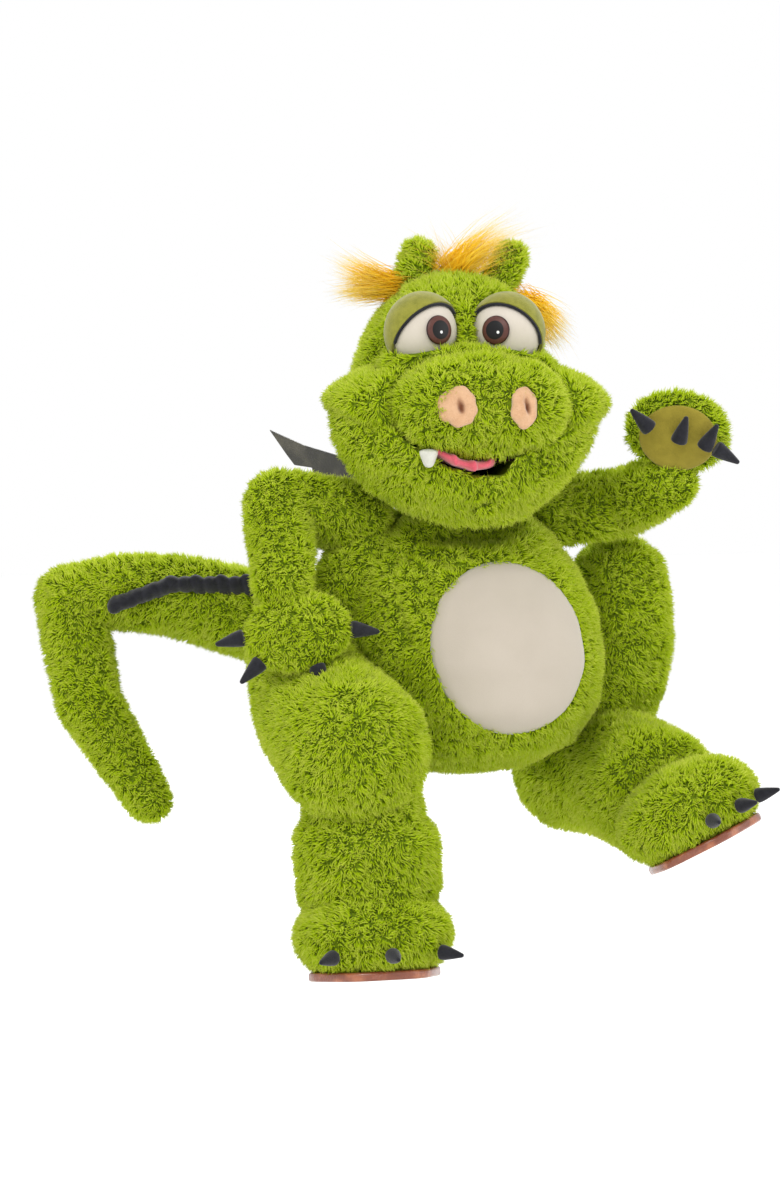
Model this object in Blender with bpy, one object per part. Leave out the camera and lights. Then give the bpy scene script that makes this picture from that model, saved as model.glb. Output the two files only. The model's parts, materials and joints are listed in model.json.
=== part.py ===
"""Plush dragon hand puppet with a moving mouth, in metres, +Z up, facing -Y.

The origin is where the puppeteer's wrist passes the neck of the body. The puppet's own left is +X.
It is modelled in the pose it is stored in: head turned, one arm raised, one leg stepping forward.
"""

import math

import bmesh
import bpy
from mathutils import Matrix, Vector

NAME = "dragon_hand_puppet"
GAP = 0.0008  # clearance between neighbouring pieces
UP = Vector((0.0, 0.0, 1.0))

# Body: rings of height, half width, half depth and how far forward of the axis the ring lies
TORSO_RINGS = (
    (0.008, 0.047, 0.047, 0.000),
    (-0.016, 0.080, 0.066, 0.003),
    (-0.045, 0.100, 0.088, 0.007),
    (-0.080, 0.115, 0.106, 0.010),
    (-0.120, 0.121, 0.118, 0.010),
    (-0.160, 0.117, 0.118, 0.008),
    (-0.192, 0.095, 0.098, 0.006),
    (-0.213, 0.055, 0.060, 0.004),
)
TORSO_TOP = 0.010
TORSO_BOTTOM = -0.220
TUNNEL_RADIUS = 0.034
TUNNEL = (Vector((0.0, 0.0, 0.060)), Vector((0.0, 0.0, -0.015)), Vector((0.0, 0.170, -0.110)))
BELLY_Z = -0.109
BELLY_HALF = (0.074, 0.072)
PANEL = 0.002

# Head, shaped facing -Y about its own axis, then turned about it
HEAD_TURN = math.radians(-13.0)
HEAD_SHIFT = Vector((-0.005, 0.0, 0.0))
NECK_RADIUS = 0.043
NECK_WALL = 0.007
NECK_SPAN = (0.0115, 0.056)
NOD = Vector((0.005, 0.0, 0.064))
SOCKET_RADIUS = 0.0495
JAW_HINGE = Vector((0.0, -0.058, 0.062))
JAW_BACK_SLOPE = math.radians(34.0)
JAW_CENTRE = Vector((-0.003, -0.074, 0.074))
JAW_HALF = Vector((0.118, 0.078, 0.086))
JAW_ROOM = 30.0  # degrees of opening that the chest leaves room for
NECK_ROOM = (-14.0, -2.0, 10.0)  # degrees of head turn at which it does
FANG_PLACE = Vector((-0.052, -0.128, 0.0))
LIP_Z = 0.050
LIP_RISE = 0.048
MOUTH_HALF = 0.120
BOARD = 0.0018
BOARD_Y = -0.098
BOARD_HALF = (0.086, 0.034)
TONGUE = 0.0055
TONGUE_X = -0.012
TONGUE_Y = -0.112
TONGUE_HALF = (0.032, 0.032)
EYE_X = 0.036
EYE = Vector((-0.006, -0.079, 0.157))
EYE_RADII = Vector((0.029, 0.025, 0.030))
IRIS_X = {"r": -0.034, "l": 0.016}
LID_THICKNESS = 0.0025
LID_LIFT = math.radians(56.0)
LID_AXIS_DROP = 0.006

# Arms: elbow, wrist, hand centre, finger direction and palm direction
SHOULDER = Vector((0.090, 0.006, 0.000))
SHOULDER_RADIUS = 0.030
ELBOW_RADIUS = 0.028
WRIST_RADIUS = 0.022
HAND_HALF = Vector((0.046, 0.017, 0.038))
ARMS = {
    "r": (
        Vector((-0.162, 0.009, 0.012)),
        Vector((-0.179, -0.040, -0.051)),
        Vector((0.02, -0.62, -0.78)),
        Vector((0.30, 0.76, -0.57)),
    ),
    "l": (
        Vector((0.152, -0.014, 0.008)),
        Vector((0.160, -0.080, 0.028)),
        Vector((0.00, -0.40, 0.92)),
        Vector((-0.42, -0.85, -0.35)),
    ),
}
RIM_CLAWS = (-75.0, -8.0, 55.0, 98.0)  # round the edge of the hanging hand, in degrees
CURLED_CLAWS = (  # in front of the raised palm: place across and up from its centre, and direction
    (-0.029, 0.012, -0.8, 0.6),
    (0.000, 0.006, 0.1, 1.0),
    (0.023, 0.004, 0.3, 1.0),
    (0.035, 0.001, 0.9, -0.4),
)
CLAW_RADIUS = 0.0065
CLAW_LENGTH = 0.020

# Legs: knee, ankle, foot centre, toe direction and sole direction
HIP = Vector((0.1695, 0.020, -0.112))
HIP_RADIUS = 0.046
THIGH_SPREAD = 0.004  # how much wider the thigh is than its ball at the hip
KNEE_RADIUS = 0.053
KNEE_ROOM = 0.005
CALF_RADIUS = {"r": 0.060, "l": 0.056}
LEGS = {
    "r": (
        Vector((-0.136, -0.103, -0.205)),
        Vector((-0.128, -0.103, -0.302)),
        Vector((-0.134, -0.124, -0.335)),
        Vector((-0.17, -0.97, 0.14)),
        Vector((-0.02, -0.14, -0.99)),
    ),
    "l": (
        Vector((0.146, 0.036, -0.222)),
        Vector((0.146, -0.096, -0.238)),
        Vector((0.146, -0.146, -0.246)),
        Vector((0.45, -0.85, -0.10)),
        Vector((0.36, -0.30, -0.88)),
    ),
}
FOOT_HALF = Vector((0.066, 0.062, 0.040))
SOLE_DEPTH = 0.030  # from the foot centre down to the flat underside
SOLE_THICKNESS = 0.004
FOOT_CLAWS = {"r": (-42.0, 0.0, 42.0), "l": (-36.0, -10.0, 14.0)}
CLAW_DROP = 0.35  # how low on the foot the claws are, as a share of its half height
HAUNCH_TOP = {"r": 0.0, "l": 0.046}
HIP_AXIS = {"r": Vector((-0.965, -0.26, 0.0)), "l": Vector((-0.98, -0.19, 0.0))}
HIP_ROOM = (-15.0, 0.0, 15.0)  # degrees of swing that the body leaves room for

# Tail, from the back of the body to the tip
TAIL_ROOT = Vector((-0.030, 0.158, -0.118))
TAIL_PATH = (
    Vector((-0.106, 0.184, -0.098)),
    Vector((-0.180, 0.210, -0.078)),
    Vector((-0.229, 0.222, -0.074)),
)
TAIL_BEND = Vector((-0.272, 0.234, -0.080))
TAIL_TIP = (Vector((-0.262, 0.212, -0.170)), Vector((-0.218, 0.178, -0.256)))
TAIL_RADII = (0.045, 0.043, 0.037, 0.032)
TAIL_BALL = 0.031
TIP_RADII = (0.030, 0.021)

# Wings: outline from the root, as distance out and height
WING_ROOT = Vector((0.050, 0.066, -0.012))
WING_OUT = Vector((0.60, 0.80, 0.0))
WING_THICKNESS = 0.003
WING_OUTLINE = (
    (-0.0160, 0.003),
    (-0.004, 0.022),
    (0.030, 0.060),
    (0.071, 0.070),
    (0.106, 0.083),
    (0.088, 0.061),
    (0.080, 0.052),
    (0.062, 0.050),
    (0.058, 0.020),
    (0.038, 0.014),
    (0.030, -0.016),
    (0.008, -0.038),
    (-0.0035, -0.018),
)

COLOURS = {
    "fur": ((0.26, 0.43, 0.02), 0.95),
    "belly": ((0.65, 0.58, 0.49), 0.90),
    "felt": ((0.33, 0.32, 0.07), 0.90),
    "palm": ((0.36, 0.30, 0.05), 0.90),
    "eye_white": ((0.71, 0.65, 0.56), 0.60),
    "iris": ((0.07, 0.03, 0.025), 0.15),
    "black_felt": ((0.017, 0.018, 0.023), 0.90),
    "fleece": ((0.74, 0.45, 0.28), 0.90),
    "hair": ((0.87, 0.45, 0.03), 0.60),
    "tongue": ((0.62, 0.11, 0.15), 0.85),
    "fang": ((0.58, 0.56, 0.50), 0.85),
    "leatherette": ((0.07, 0.065, 0.047), 0.35),
    "sole_leather": ((0.26, 0.065, 0.023), 0.30),
    "board": ((0.03, 0.01, 0.01), 0.80),
}

parts = None
cutters = None


# ---------------------------------------------------------------- tools


def new_collection(name):
    collection = bpy.data.collections.new(name)
    bpy.context.scene.collection.children.link(collection)
    return collection


def material(slot):
    """The Principled material of a slot, made once."""
    found = bpy.data.materials.get(slot)
    if found:
        return found
    made = bpy.data.materials.new(slot)
    made.use_nodes = True
    shader = made.node_tree.nodes["Principled BSDF"]
    colour, roughness = COLOURS[slot]
    shader.inputs["Base Color"].default_value = (*colour, 1.0)
    shader.inputs["Roughness"].default_value = roughness
    shader.inputs["Metallic"].default_value = 0.0
    return made


def face_outwards(mesh):
    bmesh.ops.recalc_face_normals(mesh, faces=mesh.faces)
    if mesh.calc_volume(signed=True) < 0:
        bmesh.ops.reverse_faces(mesh, faces=mesh.faces)


def add_object(name, mesh, slot=None):
    """A mesh from bmesh: a part when it has a material slot, otherwise a cutter."""
    face_outwards(mesh)
    data = bpy.data.meshes.new(name)
    mesh.to_mesh(data)
    mesh.free()
    made = bpy.data.objects.new(name, data)
    if slot:
        parts.objects.link(made)
        data.materials.append(material(slot))
    else:
        cutters.objects.link(made)
        made.hide_render = True
        made.display_type = "WIRE"
    return made


def combine(host, tool, operation="DIFFERENCE"):
    """Apply an exact Boolean to host."""
    modifier = host.modifiers.new(operation.lower(), "BOOLEAN")
    modifier.operation = operation
    modifier.solver = "EXACT"
    modifier.object = tool
    bpy.context.view_layer.update()
    evaluated = host.evaluated_get(bpy.context.evaluated_depsgraph_get())
    data = bpy.data.meshes.new_from_object(evaluated)
    host.modifiers.remove(modifier)
    old = host.data
    name = old.name
    host.data = data
    bpy.data.meshes.remove(old)
    data.name = name
    return host


def ringed(name, start, stations, end, slot=None, segments=16):
    """A UV sphere with its poles at start and end and its rings at the stations.

    A station is a centre and the two half axes of its ellipse.
    """
    mesh = bmesh.new()
    rings = len(stations) + 1
    bmesh.ops.create_uvsphere(mesh, u_segments=segments, v_segments=rings, radius=1.0)
    for vert in mesh.verts:
        ring = round(math.acos(max(-1.0, min(1.0, vert.co.z))) / math.pi * rings)
        if ring == 0:
            vert.co = start
        elif ring == rings:
            vert.co = end
        else:
            centre, side, front = stations[ring - 1]
            turn = math.atan2(vert.co.y, vert.co.x)
            vert.co = centre + math.cos(turn) * side + math.sin(turn) * front
    return add_object(name, mesh, slot)


def limb(name, points, radii, caps, slot=None, segments=14, cap_rings=3):
    """A stuffed limb along points: round in section, with an elliptical cap of given depth at each end."""
    count = len(points)
    tangents = []
    for index in range(count):
        before = points[max(index - 1, 0)]
        after = points[min(index + 1, count - 1)]
        tangents.append((after - before).normalized())
    helper = Vector((0.0, 1.0, 0.0)) if abs(tangents[0].y) < 0.7 else Vector((1.0, 0.0, 0.0))
    stations = []

    def ring(centre, tangent, radius):
        side = tangent.cross(helper).normalized()
        stations.append((centre, side * radius, side.cross(tangent).normalized() * radius))

    for index in range(1, cap_rings):
        angle = index / cap_rings * math.pi / 2
        ring(points[0] - tangents[0] * caps[0] * math.cos(angle), tangents[0], radii[0] * math.sin(angle))
    for point, tangent, radius in zip(points, tangents, radii):
        ring(point, tangent, radius)
    for index in range(cap_rings - 1, 0, -1):
        angle = index / cap_rings * math.pi / 2
        ring(points[-1] + tangents[-1] * caps[1] * math.cos(angle), tangents[-1], radii[-1] * math.sin(angle))
    start = points[0] - tangents[0] * caps[0]
    end = points[-1] + tangents[-1] * caps[1]
    return ringed(name, start, stations, end, slot, segments)


def pebble(name, centre, half, slot=None, turn=None, segments=20, rings=12):
    """An ellipsoid with its half axes along X, Y and Z, turned by a rotation matrix."""
    mesh = bmesh.new()
    bmesh.ops.create_uvsphere(mesh, u_segments=segments, v_segments=rings, radius=1.0)
    bmesh.ops.scale(mesh, vec=half, verts=mesh.verts)
    place = Matrix.Translation(centre) @ (turn.to_4x4() if turn else Matrix.Identity(4))
    bmesh.ops.transform(mesh, matrix=place, verts=mesh.verts)
    return add_object(name, mesh, slot)


def slab(name, outline, thickness, place, slot=None):
    """A flat outline of X and Y points, extruded by thickness about its plane and then placed."""
    mesh = bmesh.new()
    verts = [mesh.verts.new((x, y, -thickness / 2)) for x, y in outline]
    face = mesh.faces.new(verts)
    raised = bmesh.ops.extrude_face_region(mesh, geom=[face])
    moved = [item for item in raised["geom"] if isinstance(item, bmesh.types.BMVert)]
    bmesh.ops.translate(mesh, vec=(0.0, 0.0, thickness), verts=moved)
    bmesh.ops.transform(mesh, matrix=place, verts=mesh.verts)
    return add_object(name, mesh, slot)


def bisect(item, point, normal):
    """Keep the side of item that the normal points away from, closed flat."""
    mesh = bmesh.new()
    mesh.from_mesh(item.data)
    everything = mesh.verts[:] + mesh.edges[:] + mesh.faces[:]
    cut = bmesh.ops.bisect_plane(mesh, geom=everything, plane_co=point, plane_no=normal, clear_outer=True)
    edges = [part for part in cut["geom_cut"] if isinstance(part, bmesh.types.BMEdge)]
    bmesh.ops.contextual_create(mesh, geom=edges)
    face_outwards(mesh)
    mesh.to_mesh(item.data)
    mesh.free()
    return item


def axes(x_axis, z_axis):
    """A rotation whose Z is z_axis and whose X is as near x_axis as it can be."""
    z_axis = z_axis.normalized()
    y_axis = z_axis.cross(x_axis).normalized()
    x_axis = y_axis.cross(z_axis)
    return Matrix((x_axis, y_axis, z_axis)).transposed()


def grown(half, extra):
    return Vector([value + extra for value in half])


def set_origin(item, point):
    """Move an object's origin to its joint without moving its shape."""
    item.data.transform(Matrix.Translation(-point))
    item.location = point


# ---------------------------------------------------------------- body


def torso_shape(name, extra, slot=None):
    stations = []
    for height, width, depth, forward in TORSO_RINGS:
        centre = Vector((0.0, -forward, height))
        stations.append((centre, Vector((width + extra, 0, 0)), Vector((0, depth + extra, 0))))
    top = Vector((0.0, 0.0, TORSO_TOP + extra))
    bottom = Vector((0.0, 0.0, TORSO_BOTTOM - extra))
    return ringed(name, top, stations, bottom, slot, segments=32)


def chin_room(turned):
    """The space under the open jaw, with the head turned by some degrees."""
    room = pebble("chin_room", JAW_CENTRE, grown(JAW_HALF, GAP * 4), None, None, 24, 14)
    opened = Matrix.Rotation(math.radians(JAW_ROOM), 4, "X")
    aim = Matrix.Rotation(HEAD_TURN + math.radians(turned), 4, "Z") @ Matrix.Translation(HEAD_SHIFT)
    about_hinge = Matrix.Translation(JAW_HINGE) @ opened @ Matrix.Translation(-JAW_HINGE)
    room.data.transform(aim @ about_hinge)
    bisect(room, Vector((0.0, -NECK_RADIUS, 0.0)), Vector((0.0, 1.0, 0.0)))
    return room


def build_torso():
    torso = torso_shape("torso_cover", 0.0, "fur")
    tunnel_radii = (TUNNEL_RADIUS, TUNNEL_RADIUS, TUNNEL_RADIUS * 1.2)
    tunnel = limb("hand_tunnel", TUNNEL, tunnel_radii, (0.01, 0.01))
    combine(torso, tunnel)
    for sign in (-1.0, 1.0):
        shoulder = Vector((SHOULDER.x * sign, SHOULDER.y, SHOULDER.z))
        combine(torso, pebble(f"shoulder_seat_{sign:+.0f}", shoulder, (SHOULDER_RADIUS + GAP * 2,) * 3))
    for degrees in NECK_ROOM:
        combine(torso, chin_room(degrees))
    panel = torso_shape("belly_patch", GAP * 1.5 + PANEL, "belly")
    combine(panel, torso_shape("belly_inside", GAP * 1.5))
    frame = Matrix.Translation((0.0, -0.10, BELLY_Z)) @ Matrix.Rotation(math.pi / 2, 4, "X")
    turns = [index / 32 * math.tau for index in range(32)]
    outline = [(BELLY_HALF[0] * math.cos(turn), BELLY_HALF[1] * math.sin(turn)) for turn in turns]
    combine(panel, slab("belly_outline", outline, 0.14, frame), "INTERSECT")
    return torso


def build_wing(side, sign):
    out = Vector((WING_OUT.x * sign, WING_OUT.y, 0.0)).normalized()
    place = axes(out, out.cross(UP)).to_4x4()
    root = Vector((WING_ROOT.x * sign, WING_ROOT.y, WING_ROOT.z))
    place.translation = root
    flip = 1.0 if place.to_3x3().col[1].z > 0 else -1.0
    outline = [(distance, height * flip) for distance, height in WING_OUTLINE]
    wing = slab(f"wing_{side}", outline, WING_THICKNESS, place, "leatherette")
    set_origin(wing, root)


def build_neck():
    mesh = bmesh.new()
    height = NECK_SPAN[1] - NECK_SPAN[0]
    middle = Matrix.Translation((0.0, 0.0, (NECK_SPAN[0] + NECK_SPAN[1]) / 2))
    size = {"segments": 28, "depth": height, "cap_ends": True, "matrix": middle}
    bmesh.ops.create_cone(mesh, radius1=NECK_RADIUS, radius2=NECK_RADIUS, **size)
    neck = add_object("neck_sleeve", mesh, "fur")
    mesh = bmesh.new()
    inner = NECK_RADIUS - NECK_WALL
    size["depth"] = height * 2
    bmesh.ops.create_cone(mesh, radius1=inner, radius2=inner, **size)
    combine(neck, add_object("neck_bore", mesh))


# ---------------------------------------------------------------- head


def lip_height(x):
    """Height of the smiling mouth line at x."""
    return LIP_Z + LIP_RISE * (x / MOUTH_HALF) ** 2


def mouth_gap(x):
    """How far the lower lip lies under the upper one: open in the middle, closed at the corners."""
    return 0.0016 + 0.0125 * math.exp(-((x / 0.055) ** 2))


def mouth_block(name, height_at, far):
    """A block between the curved mouth surface and the height far."""
    mesh = bmesh.new()
    bmesh.ops.create_grid(mesh, x_segments=24, y_segments=1, size=1.0)
    for vert in mesh.verts:
        x = vert.co.x * 0.150
        vert.co = (x, vert.co.y * 0.30, height_at(x))
    raised = bmesh.ops.extrude_face_region(mesh, geom=mesh.faces[:])
    for item in raised["geom"]:
        if isinstance(item, bmesh.types.BMVert):
            item.co.z = far
    return add_object(name, mesh)


def mouth_plate(name, centre_y, half, height_at, thickness, slot=None, x_shift=0.0):
    """A plate with a round outline that follows the mouth surface."""
    mesh = bmesh.new()
    bmesh.ops.create_circle(mesh, cap_ends=True, cap_tris=False, segments=24, radius=1.0)
    raised = bmesh.ops.extrude_face_region(mesh, geom=mesh.faces[:])
    top = {item for item in raised["geom"] if isinstance(item, bmesh.types.BMVert)}
    for vert in mesh.verts:
        vert.co.z = thickness if vert in top else 0.0
    for step in range(-5, 6):
        everything = mesh.verts[:] + mesh.edges[:] + mesh.faces[:]
        bmesh.ops.bisect_plane(mesh, geom=everything, plane_co=(step / 6, 0, 0), plane_no=(1, 0, 0))
    for vert in mesh.verts:
        x = vert.co.x * half[0] + x_shift
        vert.co = (x, centre_y + vert.co.y * half[1], vert.co.z + height_at(x))
    return add_object(name, mesh, slot)


def build_head_cover():
    head = pebble("head_cover", Vector((-0.003, -0.012, 0.128)), (0.089, 0.086, 0.080), "fur", None, 24, 14)
    muzzle = pebble("muzzle", Vector((-0.004, -0.074, 0.096)), (0.123, 0.078, 0.045), None, None, 24, 12)
    snout = pebble("snout", Vector((-0.002, -0.120, 0.094)), (0.064, 0.042, 0.045), None, None, 18, 10)
    combine(head, muzzle, "UNION")
    combine(head, snout, "UNION")
    combine(head, mouth_block("below_mouth", lip_height, -0.10))
    combine(head, pebble("neck_socket", NOD, (SOCKET_RADIUS,) * 3))
    pocket = limb(
        "finger_pocket",
        (NOD + Vector((0, 0, 0.012)), Vector((0.0, -0.070, 0.092)), Vector((0.0, -0.112, 0.084))),
        (0.026, 0.024, 0.016),
        (0.02, 0.016),
    )
    combine(head, pocket)
    return head


def build_board(name, host, height_at):
    """A stiff board let flush into the mouth side of its host."""
    seat_half = (BOARD_HALF[0] + GAP, BOARD_HALF[1] + GAP)
    seat = mouth_plate(name + "_seat", BOARD_Y, seat_half, lambda x: height_at(x) - GAP, BOARD + GAP * 2)
    combine(host, seat)
    return mouth_plate(name, BOARD_Y, BOARD_HALF, height_at, BOARD, "board")


def tongue_floor(x):
    return lip_height(x) - mouth_gap(x) + GAP


def build_jaw(fang_root):
    jaw = pebble("jaw_cover", JAW_CENTRE, JAW_HALF, "fur", None, 24, 16)
    combine(jaw, mouth_block("above_mouth", lambda x: lip_height(x) - mouth_gap(x), 0.25))
    back = Vector((0.0, math.cos(JAW_BACK_SLOPE), -math.sin(JAW_BACK_SLOPE)))
    bisect(jaw, JAW_HINGE, back)
    bisect(jaw, JAW_HINGE, Vector((0.0, 1.0, 0.0)))
    pocket = limb(
        "thumb_pocket",
        (Vector((0.0, -0.040, 0.018)), Vector((0.0, -0.090, 0.018)), Vector((0.0, -0.118, 0.018))),
        (0.014, 0.013, 0.010),
        (0.01, 0.008),
    )
    combine(jaw, pocket)
    board = build_board("jaw_board", jaw, lambda x: lip_height(x) - mouth_gap(x) - BOARD)
    tongue = mouth_plate("tongue", TONGUE_Y, TONGUE_HALF, tongue_floor, TONGUE, "tongue", TONGUE_X)
    notch = pebble("fang_notch", fang_root - UP * 0.004, (0.0075, 0.0075, 0.0090))
    combine(jaw, notch)
    combine(board, notch)
    return [jaw, board, tongue]


def build_eye(side, sign, head):
    centre = EYE + Vector((EYE_X * sign, 0.0, 0.0))
    lid_outside = grown(EYE_RADII, GAP + LID_THICKNESS)
    combine(head, pebble(f"eye_seat_{side}", centre, grown(lid_outside, GAP)))
    eye = pebble(f"eyeball_{side}", centre, EYE_RADII, "eye_white")
    iris_turn = axes(Vector((1, 0, 0)), Vector(((IRIS_X[side] - centre.x) * 1.2, -EYE_RADII.y, 0.002)))
    iris_place = centre + iris_turn.col[2] * (EYE_RADII.y + 0.0005)
    iris_half = Vector((0.0125, 0.0125, 0.0030))
    iris_seat = pebble(f"iris_seat_{side}", iris_place, grown(iris_half, GAP), None, iris_turn)
    combine(eye, iris_seat)
    iris = pebble(f"iris_{side}", iris_place, iris_half, "iris", iris_turn, 24, 8)
    lid = pebble(f"eyelid_{side}", centre, lid_outside, "felt")
    combine(lid, pebble(f"lid_inside_{side}", centre, grown(EYE_RADII, GAP)))
    combine(lid, iris_seat)
    hinge = centre - UP * LID_AXIS_DROP
    normal = Vector((0.0, math.sin(LID_LIFT), math.cos(LID_LIFT)))
    bisect_shell(lid, hinge, -normal)
    lash = build_lash(side, centre, hinge, normal)
    return [eye, iris, lid, lash]


def bisect_shell(item, point, normal):
    """Cut a thick shell with a plane block, keeping the side that the normal points away from."""
    place = axes(Vector((1, 0, 0)), normal).to_4x4()
    place.translation = point + normal * 0.05
    corners = ((-0.06, -0.06), (0.06, -0.06), (0.06, 0.06), (-0.06, 0.06))
    combine(item, slab(item.name + "_trim", corners, 0.10, place))


def build_lash(side, centre, hinge, normal):
    """The piping along the lower edge of the lid: a tube on the eye's surface just under the cut."""
    radius = 0.0011
    half = grown(EYE_RADII, radius + GAP)
    level = hinge - normal * (radius + GAP)
    across = Vector((1.0, 0.0, 0.0))
    forward = normal.cross(across)
    if forward.y > 0:
        forward = -forward
    curve = bpy.data.curves.new(f"lash_{side}", "CURVE")
    curve.dimensions = "3D"
    curve.bevel_depth = radius
    curve.bevel_resolution = 1
    curve.use_fill_caps = True
    spline = curve.splines.new("POLY")
    count = 16
    spline.points.add(count)
    for index in range(count + 1):
        turn = math.radians(8.0 + 164.0 * index / count)
        ray = math.cos(turn) * across + math.sin(turn) * forward
        point = on_ellipsoid(level, ray, centre, half)
        spline.points[index].co = (*point, 1.0)
    return curve_to_mesh(curve, "black_felt")


def on_ellipsoid(start, ray, centre, half):
    """Where a ray from a point inside an ellipsoid meets its surface."""
    a = sum((ray[i] / half[i]) ** 2 for i in range(3))
    b = sum((start[i] - centre[i]) * ray[i] / half[i] ** 2 for i in range(3))
    c = sum(((start[i] - centre[i]) / half[i]) ** 2 for i in range(3)) - 1.0
    return start + ray * ((-b + math.sqrt(b * b - a * c)) / a)


def curve_to_mesh(curve, slot):
    """Turn a bevelled curve into a welded mesh part of the same name."""
    name = curve.name
    temporary = bpy.data.objects.new(name + "_curve", curve)
    parts.objects.link(temporary)
    bpy.context.view_layer.update()
    evaluated = temporary.evaluated_get(bpy.context.evaluated_depsgraph_get())
    data = bpy.data.meshes.new_from_object(evaluated)
    mesh = bmesh.new()
    mesh.from_mesh(data)
    bmesh.ops.remove_doubles(mesh, verts=mesh.verts, dist=0.00002)
    bpy.data.objects.remove(temporary)
    bpy.data.meshes.remove(data)
    return add_object(name, mesh, slot)


def build_nostril(side, sign, head):
    facing = Vector((0.42 * sign, -0.90, 0.02))
    turn = axes(Vector((1, 0, 0)), facing)
    centre = Vector((0.0275 * sign - 0.003, -0.1550, 0.094))
    half = Vector((0.0165, 0.0170, 0.0035))
    combine(head, pebble(f"nostril_seat_{side}", centre, grown(half, GAP), None, turn))
    return pebble(f"nostril_{side}", centre, half, "fleece", turn, 16, 8)


def build_stub(name, points, radii, caps, slot, head):
    """An ear or a tuft standing in its own seat in the head."""
    wide = [radius + GAP for radius in radii]
    combine(head, limb(name + "_seat", points, wide, (caps[0] + GAP, caps[1] + GAP)))
    return limb(name, points, radii, caps, slot, segments=12)


def build_head():
    head = build_head_cover()
    found = [head]
    for side, sign in (("r", -1.0), ("l", 1.0)):
        found += build_eye(side, sign, head)
        found.append(build_nostril(side, sign, head))
    ears = {
        "ear_r": (Vector((-0.036, -0.002, 0.196)), Vector((-0.030, -0.004, 0.226))),
        "ear_l": (Vector((0.038, -0.002, 0.194)), Vector((0.052, -0.004, 0.224))),
    }
    for name, ends in ears.items():
        found.append(build_stub(name, ends, (0.0150, 0.0145), (0.006, 0.011), "fur", head))
    tufts = {
        "hair_r": (Vector((-0.058, -0.004, 0.188)), Vector((-0.104, -0.008, 0.202))),
        "hair_top": (Vector((0.002, -0.012, 0.206)), Vector((0.022, -0.012, 0.242))),
        "hair_l": (Vector((0.066, -0.010, 0.176)), Vector((0.094, -0.012, 0.150))),
    }
    for name, ends in tufts.items():
        found.append(build_stub(name, ends, (0.009, 0.013), (0.004, 0.012), "hair", head))
    found.append(build_board("palate_board", head, lip_height))
    fang_root = Vector((FANG_PLACE.x, FANG_PLACE.y, lip_height(FANG_PLACE.x) - 0.0030))
    fang = limb("fang", (fang_root, fang_root - UP * 0.006), (0.0055, 0.0030), (0.0018, 0.0022), "fang")
    found.append(fang)
    found += build_jaw(fang_root)
    turn = Matrix.Rotation(HEAD_TURN, 4, "Z") @ Matrix.Translation(HEAD_SHIFT)
    for item in found:
        item.data.transform(turn)
    hinge = turn @ JAW_HINGE
    for item in found:
        set_origin(item, hinge if item.name in ("jaw_cover", "jaw_board", "tongue") else turn @ NOD)


# ---------------------------------------------------------------- limbs


def claw(name, base, direction):
    direction = direction.normalized()
    points = (base, base + direction * CLAW_LENGTH * 0.45, base + direction * CLAW_LENGTH * 0.8)
    radii = (CLAW_RADIUS, CLAW_RADIUS * 0.62, CLAW_RADIUS * 0.28)
    return limb(name, points, radii, (0.001, 0.0018), "black_felt", segments=8, cap_rings=2)


def build_arm(side, sign):
    elbow, wrist, fingers, palm = ARMS[side]
    shoulder = Vector((SHOULDER.x * sign, SHOULDER.y, SHOULDER.z))
    along = (elbow - shoulder).normalized()
    last = elbow - along * (ELBOW_RADIUS + GAP + 0.012)
    radii = (SHOULDER_RADIUS, 0.031, 0.029)
    middle = shoulder.lerp(last, 0.5)
    upper = limb(f"upper_arm_{side}", (shoulder, middle, last), radii, (SHOULDER_RADIUS, 0.012), "fur")
    set_origin(upper, shoulder)

    along = (wrist - elbow).normalized()
    last = wrist - along * (WRIST_RADIUS + GAP + 0.010)
    middle = elbow.lerp(last, 0.5)
    radii = (ELBOW_RADIUS, 0.029, 0.026)
    lower = limb(f"forearm_{side}", (elbow, middle, last), radii, (ELBOW_RADIUS, 0.010), "fur")
    set_origin(lower, elbow)

    fingers = fingers.normalized()
    palm = (palm - palm.project(fingers)).normalized()
    turn = Matrix((fingers.cross(palm) * -1.0, palm * -1.0, fingers)).transposed()
    centre = wrist + fingers * (HAND_HALF.z + 0.010)
    ball = pebble(f"hand_{side}", wrist, (WRIST_RADIUS,) * 3, "fur", None, 16, 10)
    combine(ball, pebble(f"mitt_{side}", centre, HAND_HALF, None, turn, 24, 14), "UNION")
    bridge = limb(f"bridge_{side}", (wrist, centre), (0.017, 0.012), (0.005, 0.005))
    combine(ball, bridge, "UNION")
    hand = ball
    patch_centre = centre + palm * (HAND_HALF.y - 0.0015) + fingers * 0.001
    patch_half = Vector((0.034, 0.0040, 0.030))
    combine(hand, pebble(f"palm_seat_{side}", patch_centre, grown(patch_half, GAP), None, turn, 20, 12))
    patch = pebble(f"palm_{side}", patch_centre, patch_half, "palm", turn, 20, 12)
    set_origin(hand, wrist)
    set_origin(patch, wrist)

    across = fingers.cross(palm) * sign
    places = []
    if side == "l":
        proud = patch_half.y + HAND_HALF.y + CLAW_RADIUS
        for out, rise, out_aim, rise_aim in CURLED_CLAWS:
            base = centre + across * out + fingers * rise + palm * proud
            places.append((base, across * out_aim + fingers * rise_aim))
    else:
        for degrees in RIM_CLAWS:
            angle = math.radians(degrees)
            rim = across * math.sin(angle) * HAND_HALF.x + fingers * math.cos(angle) * HAND_HALF.z
            outward = rim.normalized()
            places.append((centre + rim + outward * GAP * 2.5, outward + palm * 0.25))
    for number, (base, direction) in enumerate(places, start=1):
        nail = claw(f"hand_claw_{side}{number}", base, direction)
        set_origin(nail, wrist)


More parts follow.
